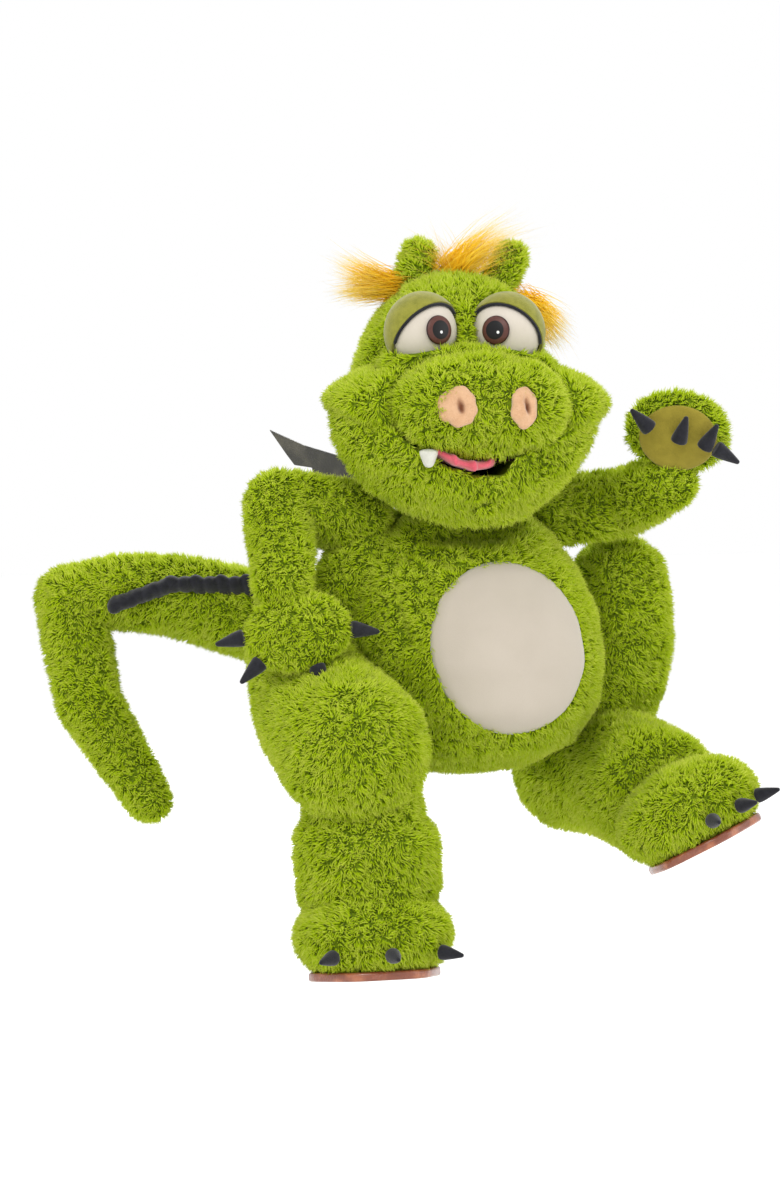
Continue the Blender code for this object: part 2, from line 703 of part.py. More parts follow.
def build_leg(side, sign, torso):
    knee, ankle, foot_centre, toes, down = LEGS[side]
    hip = Vector((HIP.x * sign, HIP.y, HIP.z))
    along = (knee - hip).normalized()
    last = knee - along * (KNEE_RADIUS + GAP + 0.014 + KNEE_ROOM)
    points = [hip, last]
    radii = [HIP_RADIUS, HIP_RADIUS + THIGH_SPREAD]
    if HAUNCH_TOP[side]:
        points.insert(0, hip + UP * HAUNCH_TOP[side] + Vector((0.0, 0.004, 0.0)))
        radii.insert(0, HIP_RADIUS - 0.002)
    thigh = limb(f"thigh_{side}", points, radii, (radii[0], 0.014), "fur", segments=18)
    for degrees in HIP_ROOM:
        wide = [radius + GAP * 2 for radius in radii]
        room = limb(f"thigh_room_{side}", points, wide, (wide[0], 0.014 + GAP * 2), segments=18)
        swing = Matrix.Rotation(math.radians(degrees), 4, HIP_AXIS[side])
        room.data.transform(Matrix.Translation(hip) @ swing @ Matrix.Translation(-hip))
        combine(torso, room)
    set_origin(thigh, hip)

    middle = knee.lerp(ankle, 0.55)
    shin = limb(
        f"lower_leg_{side}",
        (knee, middle, ankle),
        (KNEE_RADIUS, CALF_RADIUS[side], CALF_RADIUS[side]),
        (KNEE_RADIUS, 0.030),
        "fur",
        segments=20,
    )
    down = down.normalized()
    toes = (toes - toes.project(down)).normalized()
    turn = axes(toes.cross(down), -down)
    combine(shin, pebble(f"foot_{side}", foot_centre, FOOT_HALF, None, turn, 24, 14), "UNION")
    flat = foot_centre + down * SOLE_DEPTH
    bisect(shin, flat, down)
    set_origin(shin, knee)

    place = turn.to_4x4()
    place.translation = flat + down * (GAP + SOLE_THICKNESS / 2)
    shrink = math.sqrt(1.0 - (SOLE_DEPTH / FOOT_HALF.z) ** 2) * 1.22
    outline = []
    for index in range(28):
        angle = index / 28 * math.tau
        reach = shrink * (1.0 + 0.04 * math.cos(6.0 * angle))
        outline.append((FOOT_HALF.x * reach * math.cos(angle), FOOT_HALF.y * reach * math.sin(angle)))
    sole = slab(f"sole_{side}", outline, SOLE_THICKNESS, place, "sole_leather")
    set_origin(sole, knee)

    across = turn.col[0]
    forward = turn.col[1] if turn.col[1].dot(toes) > 0 else -turn.col[1]
    level = math.sqrt(1.0 - CLAW_DROP ** 2)
    for number, degrees in enumerate(FOOT_CLAWS[side], start=1):
        angle = math.radians(degrees)
        rim = (across * math.sin(angle) * FOOT_HALF.x + forward * math.cos(angle) * FOOT_HALF.y) * level
        base = foot_centre + rim + down * FOOT_HALF.z * CLAW_DROP
        outward = (rim.normalized() + down * 0.1).normalized()
        nail = claw(f"foot_claw_{side}{number}", base + outward * CLAW_RADIUS, rim.normalized() + down * 0.15)
        set_origin(nail, knee)


def build_tail():
    along = (TAIL_BEND - TAIL_PATH[-1]).normalized()
    last = TAIL_BEND - along * (TAIL_BALL + GAP + 0.014)
    points = (TAIL_ROOT, *TAIL_PATH[:-1], last)
    base = limb("tail_base", points, TAIL_RADII, (TAIL_RADII[0], 0.008), "fur", segments=16)
    set_origin(base, TAIL_ROOT)
    tip_points = (TAIL_BEND, *TAIL_TIP)
    tip = limb("tail_tip", tip_points, (TAIL_BALL, *TIP_RADII), (TAIL_BALL, 0.020), "fur", segments=16)
    set_origin(tip, TAIL_BEND)
    spine = Vector((-0.42, -0.90, 0.0)).normalized()
    lifts = (0.9, 0.5, 0.0)
    ridge_points = []
    for point, radius, lift in zip(points[1:], TAIL_RADII[1:], lifts):
        out = (spine + UP * lift).normalized()
        ridge_points.append(point + out * (radius + 0.006 + GAP * 2))
    ridge = limb("tail_ridge", ridge_points, (0.006, 0.006, 0.005), (0.004, 0.004), "black_felt", segments=10)
    set_origin(ridge, TAIL_ROOT)


def main():
    global parts, cutters
    for item in list(bpy.data.objects):
        bpy.data.objects.remove(item, do_unlink=True)
    parts = new_collection(NAME)
    cutters = new_collection("cutters")
    torso = build_torso()
    build_neck()
    build_head()
    for side, sign in (("r", -1.0), ("l", 1.0)):
        build_wing(side, sign)
        build_arm(side, sign)
        build_leg(side, sign, torso)
    build_tail()


main()
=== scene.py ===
"""Plush dragon hand puppet: fur skins, felt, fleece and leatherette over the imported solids."""

import json
import math
import random

import bmesh
import bpy
import numpy as np
from mathutils import Matrix, Vector, noise
from mathutils.bvhtree import BVHTree


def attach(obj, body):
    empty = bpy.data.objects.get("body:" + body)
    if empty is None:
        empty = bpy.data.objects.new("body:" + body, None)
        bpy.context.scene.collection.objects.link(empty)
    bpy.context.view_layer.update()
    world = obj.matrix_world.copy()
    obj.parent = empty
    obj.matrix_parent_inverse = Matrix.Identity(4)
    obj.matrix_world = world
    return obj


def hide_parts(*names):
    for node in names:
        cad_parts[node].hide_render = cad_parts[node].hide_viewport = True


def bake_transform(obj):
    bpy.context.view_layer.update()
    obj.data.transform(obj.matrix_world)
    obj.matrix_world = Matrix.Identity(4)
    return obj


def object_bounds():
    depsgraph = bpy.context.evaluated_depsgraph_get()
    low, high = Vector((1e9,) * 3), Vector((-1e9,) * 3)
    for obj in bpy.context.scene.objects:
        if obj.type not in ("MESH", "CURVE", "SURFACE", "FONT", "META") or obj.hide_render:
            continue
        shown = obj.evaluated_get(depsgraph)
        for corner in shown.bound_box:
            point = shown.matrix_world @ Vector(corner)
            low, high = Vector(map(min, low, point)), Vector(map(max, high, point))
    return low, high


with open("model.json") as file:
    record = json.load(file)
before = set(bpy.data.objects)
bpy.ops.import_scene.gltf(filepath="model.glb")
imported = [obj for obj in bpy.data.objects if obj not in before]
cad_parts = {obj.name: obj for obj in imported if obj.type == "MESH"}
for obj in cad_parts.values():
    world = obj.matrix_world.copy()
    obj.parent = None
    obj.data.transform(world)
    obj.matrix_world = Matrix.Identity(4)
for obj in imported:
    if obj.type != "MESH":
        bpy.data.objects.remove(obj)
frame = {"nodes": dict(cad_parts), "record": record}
CAD_BOX = [list(corner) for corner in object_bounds()]
NODES = frame["nodes"]
JOINTS = {joint["name"]: Vector(joint["pos_m"]) for joint in frame["record"]["behaviour"]["joints"]}
SIDES = (("r", -1.0), ("l", 1.0))
UP = Vector((0.0, 0.0, 1.0))
SEED = 41
GRAIN = np.random.default_rng(SEED)
random.seed(SEED)
noise.seed_set(SEED)



def vectors(*places):
    return [Vector(place) for place in places]


# The head is made facing -Y and then turned on the neck, as the solids are
HEAD = Matrix.Rotation(math.radians(-13.0), 4, "Z") @ Matrix.Translation((-0.005, 0.0, 0.0))
HEAD_BACK = HEAD.inverted()
EYE = Vector((-0.006, -0.079, 0.157))
EYE_APART = 0.036
EYE_RADII = Vector((0.029, 0.025, 0.030))
IRIS_X = {"r": -0.034, "l": 0.016}
JAW_HINGE = Vector((0.0, -0.058, 0.062))
BELLY_HEIGHT = -0.1065
BELLY_HALF = (0.0705, 0.0710)
TUNNEL = (Vector((0.0, 0.0, 0.060)), Vector((0.0, 0.0, -0.015)), Vector((0.0, 0.170, -0.110)))

PILE_DEPTH = 0.0030  # how far the cloth lies under the tips of its pile
VOXEL = 0.0030
TRIANGLE_LIMIT = 190000


# ---------------------------------------------------------------- shader groups and materials


COLOUR = "NodeSocketColor"
FLOAT = "NodeSocketFloat"


def new_group(name, inputs, outputs):
    """An empty shader node group with float, colour or vector sockets."""
    group = bpy.data.node_groups.new(name, "ShaderNodeTree")
    for label, kind, value in inputs:
        socket = group.interface.new_socket(name=label, in_out="INPUT", socket_type=kind)
        if value is not None:
            socket.default_value = value
    for label, kind in outputs:
        group.interface.new_socket(name=label, in_out="OUTPUT", socket_type=kind)
    return group, group.nodes.new("NodeGroupInput"), group.nodes.new("NodeGroupOutput")


class Bench:
    """Short calls for adding and joining nodes in one tree."""

    def __init__(self, tree):
        self.tree = tree

    def add(self, kind, settings=None, values=None):
        node = self.tree.nodes.new(kind)
        for key, value in (settings or {}).items():
            setattr(node, key, value)
        for key, value in (values or {}).items():
            if isinstance(value, bpy.types.NodeSocket):
                self.tree.links.new(value, node.inputs[key])
            else:
                node.inputs[key].default_value = value
        return node

    def math(self, operation, first, second=0.0, clamp=False):
        node = self.add("ShaderNodeMath", {"operation": operation, "use_clamp": clamp}, {0: first, 1: second})
        return node.outputs[0]

    def mix(self, amount, first, second, blend="MIX"):
        settings = {"data_type": "RGBA", "blend_type": blend}
        return self.add("ShaderNodeMix", settings, {0: amount, 6: first, 7: second}).outputs[2]

    def step(self, value, low, high, out_low=0.0, out_high=1.0):
        values = {0: value, 1: low, 2: high, 3: out_low, 4: out_high}
        node = self.add("ShaderNodeMapRange", {"interpolation_type": "SMOOTHSTEP"}, values)
        return node.outputs[0]

    def place(self):
        return self.add("ShaderNodeTexCoord").outputs["Object"]

    def noise(self, where, scale, detail=2.0, rough=0.5):
        values = {"Vector": where, "Scale": scale, "Detail": detail, "Roughness": rough}
        return self.add("ShaderNodeTexNoise", None, values).outputs[0]


def mottle_group():
    """Cloth colour with soft blotches and fine fibres, and a fibre height for bump."""
    inputs = (
        ("Colour", COLOUR, (0.5, 0.5, 0.5, 1.0)),
        ("Dark", COLOUR, (0.2, 0.2, 0.2, 1.0)),
        ("Blotch Scale", FLOAT, 60.0),
        ("Fibre Scale", FLOAT, 900.0),
        ("Amount", FLOAT, 0.5),
    )
    outputs = (("Colour", COLOUR), ("Height", FLOAT))
    group, source, result = new_group("cloth_mottle", inputs, outputs)
    bench = Bench(group)
    place = bench.place()
    blotch = bench.noise(place, source.outputs["Blotch Scale"], 3.0)
    fibre = bench.noise(place, source.outputs["Fibre Scale"], 2.0, 0.7)
    both = bench.math("ADD", bench.math("MULTIPLY", blotch, 0.6), bench.math("MULTIPLY", fibre, 0.4))
    mask = bench.step(both, 0.32, 0.66)
    weak = bench.math("MULTIPLY", bench.math("SUBTRACT", 1.0, mask), source.outputs["Amount"])
    colour = bench.mix(weak, source.outputs["Colour"], source.outputs["Dark"])
    group.links.new(colour, result.inputs["Colour"])
    group.links.new(fibre, result.inputs["Height"])
    return group


def pile_group():
    """Colour of one tuft of plush from its root to its tip, darker at the root as painted shade down in the
    pile and lighter at the tip as painted light on the tips, with patches of lighter and darker pile.
    """
    inputs = (
        ("Root", COLOUR, (0.1, 0.2, 0.0, 1.0)),
        ("Middle", COLOUR, (0.3, 0.5, 0.0, 1.0)),
        ("Tip", COLOUR, (0.5, 0.7, 0.1, 1.0)),
        ("Patch Scale", FLOAT, 30.0),
    )
    group, source, result = new_group("pile_colour", inputs, (("Colour", COLOUR),))
    bench = Bench(group)
    tip = bench.add("ShaderNodeAttribute", {"attribute_name": "tip"}).outputs["Fac"]
    shade = bench.add("ShaderNodeAttribute", {"attribute_name": "shade"}).outputs["Fac"]
    place = bench.place()
    patch = bench.noise(place, source.outputs["Patch Scale"], 3.0)
    lift = bench.math("ADD", bench.math("MULTIPLY", shade, 0.40), bench.math("MULTIPLY", patch, 0.55))
    along = bench.math("ADD", tip, bench.math("SUBTRACT", lift, 0.48))
    # painted shade and light: the root colour stands for shade down in the pile, the tip colour for light on
    # the tips
    low = bench.mix(bench.step(along, 0.02, 0.42), source.outputs["Root"], source.outputs["Middle"])
    high = bench.mix(bench.step(along, 0.40, 1.15), low, source.outputs["Tip"])
    group.links.new(high, result.inputs["Colour"])
    return group


def grain_group():
    """Leather grain: cells with creases between them."""
    inputs = (("Scale", FLOAT, 700.0), ("Crease", FLOAT, 40.0))
    outputs = (("Height", FLOAT), ("Worn", FLOAT))
    group, source, result = new_group("leather_grain", inputs, outputs)
    bench = Bench(group)
    place = bench.place()
    values = {"Vector": place, "Scale": source.outputs["Scale"]}
    cells = bench.add("ShaderNodeTexVoronoi", {"feature": "DISTANCE_TO_EDGE"}, values).outputs["Distance"]
    crease = bench.noise(place, source.outputs["Crease"], 4.0)
    height = bench.math("ADD", bench.step(cells, 0.0, 0.18), bench.math("MULTIPLY", crease, 1.6))
    group.links.new(height, result.inputs["Height"])
    group.links.new(bench.step(crease, 0.45, 0.70), result.inputs["Worn"])
    return group


MOTTLE = mottle_group()
PILE = pile_group()
GRAIN_GROUP = grain_group()


def rgba(red, green, blue):
    """An sRGB colour in 0..255 as linear RGBA."""
    linear = []
    for value in (red, green, blue):
        part = value / 255.0
        linear.append(part / 12.92 if part <= 0.04045 else ((part + 0.055) / 1.055) ** 2.4)
    return (*linear, 1.0)


def new_material(name, roughness, sheen=0.0, sheen_tint=(1.0, 1.0, 1.0, 1.0), coat=0.0):
    made = bpy.data.materials.new(name)
    made.use_nodes = True
    shader = made.node_tree.nodes["Principled BSDF"]
    values = {"Roughness": roughness, "Coat Weight": coat, "Coat Roughness": 0.12}
    values |= {"Sheen Weight": sheen, "Sheen Roughness": 0.45, "Sheen Tint": sheen_tint}
    for key, value in values.items():
        shader.inputs[key].default_value = value
    return made, Bench(made.node_tree), shader


def bump(bench, shader, height, strength, distance):
    values = {"Strength": strength, "Distance": distance, "Height": height}
    node = bench.add("ShaderNodeBump", None, values)
    bench.tree.links.new(node.outputs[0], shader.inputs["Normal"])


def pile_material(name, root, middle, tip, patch=30.0, sheen=0.12, sheen_tint=(0.9, 1.0, 0.3, 1.0)):
    made, bench, shader = new_material(name, 0.85, sheen, sheen_tint)
    group = bench.add("ShaderNodeGroup", {"node_tree": PILE}, {"Root": root, "Middle": middle, "Tip": tip})
    group.inputs["Patch Scale"].default_value = patch
    bench.tree.links.new(group.outputs[0], shader.inputs["Base Color"])
    shader.inputs["Specular IOR Level"].default_value = 0.12
    return made


def cloth_material(name, colour, dark, amount=0.5, blotch=60.0, fibre=900.0, depth=0.0006, sheen=0.3):
    made, bench, shader = new_material(name, 0.9, sheen)
    values = {"Colour": colour, "Dark": dark, "Amount": amount, "Blotch Scale": blotch, "Fibre Scale": fibre}
    group = bench.add("ShaderNodeGroup", {"node_tree": MOTTLE}, values)
    bench.tree.links.new(group.outputs["Colour"], shader.inputs["Base Color"])
    shader.inputs["Specular IOR Level"].default_value = 0.2
    bump(bench, shader, group.outputs["Height"], 0.6, depth)
    return made


def leather_material(name, colour, worn, roughness, coat, scale, crease, depth=0.0004):
    made, bench, shader = new_material(name, roughness, coat=coat)
    group = bench.add("ShaderNodeGroup", {"node_tree": GRAIN_GROUP}, {"Scale": scale, "Crease": crease})
    bench.tree.links.new(bench.mix(group.outputs["Worn"], colour, worn), shader.inputs["Base Color"])
    bump(bench, shader, group.outputs["Height"], 0.5, depth)
    return made


def iris_material(name, centre, painted_highlight):
    """A moulded eye: dark rim, brown ring, black pupil and a painted highlight (a white dot for a reflection
    of the lamps), by distance from the centre.
    """
    made, bench, shader = new_material(name, 0.38)
    shader.inputs["Specular IOR Level"].default_value = 0.3
    place = bench.place()
    distance = {"operation": "DISTANCE"}
    reach = bench.add("ShaderNodeVectorMath", distance, {0: place, 1: centre}).outputs["Value"]
    highlight_reach = bench.add("ShaderNodeVectorMath", distance, {0: place, 1: painted_highlight}).outputs["Value"]
    streaks = bench.noise(place, 420.0, 3.0, 0.7)
    ring = bench.mix(streaks, rgba(70, 34, 30), rgba(104, 66, 58))
    edge = bench.mix(bench.step(reach, 0.0112, 0.0124), ring, rgba(42, 22, 20))
    pupil = bench.mix(bench.step(reach, 0.0076, 0.0082), rgba(16, 15, 17), edge)
    # painted highlight: a small white dot that stands in for a reflection of the lamps
    with_highlight = bench.mix(bench.step(highlight_reach, 0.0010, 0.0014), (1.0, 1.0, 1.0, 1.0), pupil)
    bench.tree.links.new(with_highlight, shader.inputs["Base Color"])
    return made


def fleece_material(name, middle):
    """Short beige fleece, with painted shade darkening it to brown towards the crease where it is gathered.
    """
    made, bench, shader = new_material(name, 0.9, 0.4)
    values = {
        "Colour": rgba(212, 170, 132),
        "Dark": rgba(184, 134, 92),
        "Amount": 0.5,
        "Blotch Scale": 110.0,
        "Fibre Scale": 700.0,
    }
    group = bench.add("ShaderNodeGroup", {"node_tree": MOTTLE}, values)
    place = bench.place()
    squeezed = bench.add("ShaderNodeMapping", None, {"Vector": place, "Location": -middle}).outputs[0]
    shorter = {0: squeezed, 1: (1.0, 1.0, 0.45)}
    flat = bench.add("ShaderNodeVectorMath", {"operation": "MULTIPLY"}, shorter).outputs[0]
    reach = bench.add("ShaderNodeVectorMath", {"operation": "LENGTH"}, {0: flat}).outputs["Value"]
    # painted shade: dark brown near the gathered crease, where shade falls in the fold
    colour = bench.mix(bench.step(reach, 0.0012, 0.0058), rgba(112, 62, 30), group.outputs["Colour"])
    bench.tree.links.new(colour, shader.inputs["Base Color"])
    bump(bench, shader, group.outputs["Height"], 0.9, 0.0010)
    return made


# green plush from root to tip: the dark root is painted shade, the pale tip painted light
FUR = pile_material("green_plush", rgba(108, 132, 3), rgba(172, 198, 7), rgba(212, 224, 80))
HAIR_TINT = (1.0, 0.9, 0.6, 1.0)
# yellow hair from root to tip: the deeper root is painted shade, the pale tip painted light
HAIR_TONES = (rgba(250, 186, 14), rgba(253, 208, 44), rgba(254, 230, 130))
HAIR = pile_material("yellow_hair", *HAIR_TONES, 60.0, 0.1, HAIR_TINT)
BACKING = cloth_material("green_backing", rgba(112, 134, 6), rgba(84, 106, 4), 0.6, sheen=0.0)
BELLY_TONES = (rgba(186, 176, 162), rgba(172, 162, 147))
BELLY = cloth_material("belly_velour", *BELLY_TONES, 0.35, 25.0, 1400.0, 0.0003, 0.5)
LID = cloth_material("lid_felt", rgba(144, 142, 54), rgba(102, 104, 30), 0.55, 180.0, 1100.0)
PALM = cloth_material("palm_felt", rgba(148, 134, 46), rgba(116, 104, 30), 0.5, 120.0, 1100.0)
EYE_TONES = (rgba(206, 197, 184), rgba(188, 177, 160))
EYE_WHITE = cloth_material("eye_cloth", *EYE_TONES, 0.3, 50.0, 1500.0, 0.0001, 0.2)
BLACK = cloth_material("black_felt", rgba(38, 38, 44), rgba(18, 18, 22), 0.6, 200.0, 900.0, 0.0005, 0.25)
TONGUE = cloth_material("tongue_plush", rgba(216, 96, 110), rgba(180, 62, 80), 0.5, 130.0, 800.0, 0.0006, 0.4)
FANG = cloth_material("fang_felt", rgba(210, 209, 198), rgba(176, 176, 164), 0.4, 150.0)
LINING = cloth_material("mouth_lining", rgba(58, 20, 22), rgba(30, 10, 12), 0.6, 90.0)
WING = leather_material("wing_leatherette", rgba(50, 48, 41), rgba(80, 76, 64), 0.36, 0.2, 520.0, 45.0)
SOLE = leather_material("sole_leather", rgba(128, 62, 34), rgba(176, 104, 66), 0.28, 0.6, 420.0, 60.0)


# ---------------------------------------------------------------- tools


def link(name, data, *materials):
    made = bpy.data.objects.new(name, data)
    bpy.context.scene.collection.objects.link(made)
    for item in materials:
        data.materials.append(item)
    return made


def piece(name, mesh, material, smooth=True):
    """A finished object from bmesh."""
    data = bpy.data.meshes.new(name)
    mesh.to_mesh(data)
    mesh.free()
    if smooth:
        data.shade_smooth()
    return link(name, data, material)


def applied(item):
    """Apply every modifier of an object to its mesh."""
    bpy.context.view_layer.update()
    evaluated = item.evaluated_get(bpy.context.evaluated_depsgraph_get())
    data = bpy.data.meshes.new_from_object(evaluated)
    item.modifiers.clear()
    old = item.data
    name = old.name
    item.data = data
    bpy.data.meshes.remove(old)
    data.name = name
    data.shade_smooth()
    return item


def modify(item, kind, **settings):
    """Give an object one more modifier."""
    made = item.modifiers.new(kind.lower(), kind)
    for key, value in settings.items():
        setattr(made, key, value)


def node_mesh(*names):
    """A merged copy of the meshes of CAD nodes."""
    mesh = bmesh.new()
    for name in names:
        mesh.from_mesh(NODES[name].data)
    bmesh.ops.remove_doubles(mesh, verts=mesh.verts, dist=0.00001)
    bmesh.ops.recalc_face_normals(mesh, faces=mesh.faces)
    return mesh


def axes(x_axis, z_axis):
    """A rotation whose Z is z_axis and whose X is as near x_axis as it can be."""
    z_axis = z_axis.normalized()
    y_axis = z_axis.cross(x_axis).normalized()
    x_axis = y_axis.cross(z_axis)
    return Matrix((x_axis, y_axis, z_axis)).transposed()


def put(turn, centre):
    return Matrix.Translation(centre) @ turn.to_4x4()


def row(points, radii, step=0.006):
    """Balls of stuffing along a path, a step apart, from one radius to the next."""
    beads = []
    for first, second, wide, narrow in zip(points, points[1:], radii, radii[1:]):
        count = max(1, round((second - first).length / step))
        for index in range(count):
            share = index / count
            beads.append((first.lerp(second, share), wide + (narrow - wide) * share))
    beads.append((points[-1], radii[-1]))
    return beads


def smoothed(mesh, verts, rounds):
    """Ease a mesh by moving vertices towards their neighbours."""
    every_way = {"use_axis_x": True, "use_axis_y": True, "use_axis_z": True}
    for _ in range(rounds):
        bmesh.ops.smooth_vert(mesh, verts=verts, factor=0.5, **every_way)


def stuffed(name, nodes, beads, swell=-PILE_DEPTH, rounds=6, lumps=0.0012):
    """One closed skin round CAD nodes, which it replaces, and balls of stuffing, eased smooth."""
    mesh = node_mesh(*nodes)
    for vert in mesh.verts:
        vert.co += vert.normal * swell
    for centre, radius in beads:
        place = Matrix.Translation(centre)
        bmesh.ops.create_icosphere(mesh, subdivisions=2, radius=radius + swell, matrix=place)
    skin = piece(name, mesh, BACKING)
    modify(skin, "REMESH", mode="VOXEL", voxel_size=VOXEL)
    applied(skin)
    mesh = bmesh.new()
    mesh.from_mesh(skin.data)
    smoothed(mesh, mesh.verts, rounds)
    mesh.normal_update()
    for vert in mesh.verts:
        vert.co += vert.normal * noise.noise(vert.co * 45.0) * lumps
    mesh.to_mesh(skin.data)
    mesh.free()
    skin.data.shade_smooth()
    if nodes:
        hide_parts(*nodes)
    return skin


def away_from(point, start, end):
    """The way to a point from the nearest place on a segment."""
    along = end - start
    share = max(0.0, min(1.0, (point - start).dot(along) / along.length_squared))
    return point - start - along * share


def in_hollow(point, normal, line, reach):
    """Whether a point is on the wall of a hollow along a line, looking into it."""
    for start, end in zip(line, line[1:]):
        away = away_from(point, start, end)
        if away.length < reach and away.dot(normal) < 0.0:
            return True
    return False


def press(skin, lines, depth, width):
    """Sew creases into a skin along lines of points."""
    stretches = [pair for line in lines for pair in zip(line, line[1:])]
    normals = [vert.normal.copy() for vert in skin.data.vertices]
    for vert, normal in zip(skin.data.vertices, normals):
        nearest = min(away_from(vert.co, start, end).length for start, end in stretches)
        if nearest < width * 2.5:
            vert.co -= normal * depth * math.exp(-((nearest / width) ** 2))
    skin.data.update()


def softened(name, node, material, levels=2, grow=1.0):
    """A rounded copy of a CAD node, fuller by a factor about its middle, with its facets eased."""
    mesh = node_mesh(node)
    middle = sum((vert.co for vert in mesh.verts), Vector()) / len(mesh.verts)
    for vert in mesh.verts:
        vert.co = middle + (vert.co - middle) * grow
    bmesh.ops.join_triangles(mesh, faces=mesh.faces, angle_face_threshold=0.8, angle_shape_threshold=0.8)
    made = piece(name, mesh, material)
    modify(made, "SUBSURF", levels=levels, render_levels=levels)
    applied(made)
    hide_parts(node)
    return made


# ---------------------------------------------------------------- plush pile


def tuft_shape(cuts, fullness):
    """One closed three-sided tuft, a unit high, with rings at the cuts."""
    mesh = bmesh.new()
    middle = Matrix.Translation((0.0, 0.0, 0.5))
    sizes = {"radius1": 0.55, "radius2": 0.0, "depth": 1.0}
    bmesh.ops.create_cone(mesh, cap_ends=True, segments=3, matrix=middle, **sizes)
    bmesh.ops.remove_doubles(mesh, verts=mesh.verts, dist=0.001)
    for cut in cuts:
        everything = mesh.verts[:] + mesh.edges[:] + mesh.faces[:]
        bmesh.ops.bisect_plane(mesh, geom=everything, plane_co=(0.0, 0.0, cut), plane_no=(0.0, 0.0, 1.0))
    for vert in mesh.verts:
        if 0.01 < vert.co.z < 0.99:
            vert.co.x *= 1.0 + fullness
            vert.co.y *= 1.0 + fullness
    mesh.verts.index_update()
    points = np.array([vert.co[:] for vert in mesh.verts])
    faces = [[vert.index for vert in face.verts] for face in mesh.faces]
    mesh.free()
    return points, faces


TUFT = tuft_shape((), 0.0)
STRAND = tuft_shape((0.2, 0.45, 0.7), 0.5)


def unit(vectors):
    return vectors / np.maximum(np.linalg.norm(vectors, axis=1, keepdims=True), 1e-9)


def spots_on(skin, per_face):
    """Even but unordered places on a skin, with the normal at each."""
    count = len(skin.data.polygons)
    centre = np.empty(count * 3)
    normal = np.empty(count * 3)
    area = np.empty(count)
    skin.data.polygons.foreach_get("center", centre)
    skin.data.polygons.foreach_get("normal", normal)
    skin.data.polygons.foreach_get("area", area)
    whole = int(per_face)
    repeat = np.full(count, whole)
    repeat[GRAIN.random(count) < per_face - whole] += 1
    pick = np.repeat(np.arange(count), repeat)
    centre = centre.reshape(-1, 3)[pick]
    normal = unit(normal.reshape(-1, 3)[pick])
    side = unit(np.cross(normal, GRAIN.normal(size=normal.shape)))
    other = np.cross(normal, side)
    width = np.sqrt(area[pick])[:, None] * 1.1
    spread = GRAIN.random((len(pick), 2)) - 0.5
    return centre + (side * spread[:, :1] + other * spread[:, 1:]) * width, normal


def inside(tree, point, margin):
    """Whether a point lies inside a closed skin, or within a margin of it."""
    found, normal, _, distance = tree.find_nearest(point)
    return found is not None and ((Vector(point) - found).dot(normal) < 0.0 or distance < margin)


def tufts(name, shape, places, along, lengths, widths, lean_to, bend, material):
    """Closed tufts at places, each along its own direction and bent towards its own lean."""
    shape_points, shape_faces = shape
    z_axis = unit(along)
    x_axis = unit(lean_to - z_axis * np.sum(lean_to * z_axis, axis=1, keepdims=True))
    y_axis = np.cross(z_axis, x_axis)
    shade = GRAIN.random(len(places))
    corners = len(shape_points)
    sizes = [len(face) for face in shape_faces]
    triangles = sum(size - 2 for size in sizes)
    flat = np.concatenate([np.array(face) for face in shape_faces])
    starts = np.concatenate(([0], np.cumsum(sizes)[:-1]))
    across_x, across_y, height = (shape_points[None, :, axis:axis + 1] for axis in range(3))
    made = []
    chunks = max(1, math.ceil(len(places) * triangles / TRIANGLE_LIMIT))
    order = np.argsort(places[:, 2], kind="stable")
    for number, chosen in enumerate(np.array_split(order, chunks), start=1):
        wide = widths[chosen][:, None, None]
        tall = lengths[chosen][:, None, None]
        curve = bend[chosen][:, None, None] * tall * height ** 2
        points = places[chosen][:, None, :] + x_axis[chosen][:, None, :] * (across_x * wide + curve)
        points = points + y_axis[chosen][:, None, :] * across_y * wide
        points = points + z_axis[chosen][:, None, :] * (height - 0.10) * tall
        label = name if chunks == 1 else f"{name}_{number}"
        data = bpy.data.meshes.new(label)
        data.vertices.add(len(chosen) * corners)
        data.vertices.foreach_set("co", points.ravel())
        offsets = np.arange(len(chosen)) * corners
        data.loops.add(len(chosen) * len(flat))
        data.loops.foreach_set("vertex_index", (offsets[:, None] + flat[None, :]).ravel().astype(np.int32))
        loop_offsets = np.arange(len(chosen)) * len(flat)
        data.polygons.add(len(chosen) * len(sizes))
        firsts = loop_offsets[:, None] + starts[None, :]
        data.polygons.foreach_set("loop_start", firsts.ravel().astype(np.int32))
        data.update(calc_edges=True)
        tip = data.attributes.new("tip", "FLOAT", "POINT")
        tip.data.foreach_set("value", np.tile(shape_points[:, 2], len(chosen)).astype(np.float32))
        tone = data.attributes.new("shade", "FLOAT", "POINT")
        tone.data.foreach_set("value", np.repeat(shade[chosen], corners).astype(np.float32))
        data.shade_smooth()
        made.append(link(label, data, material))
    return made


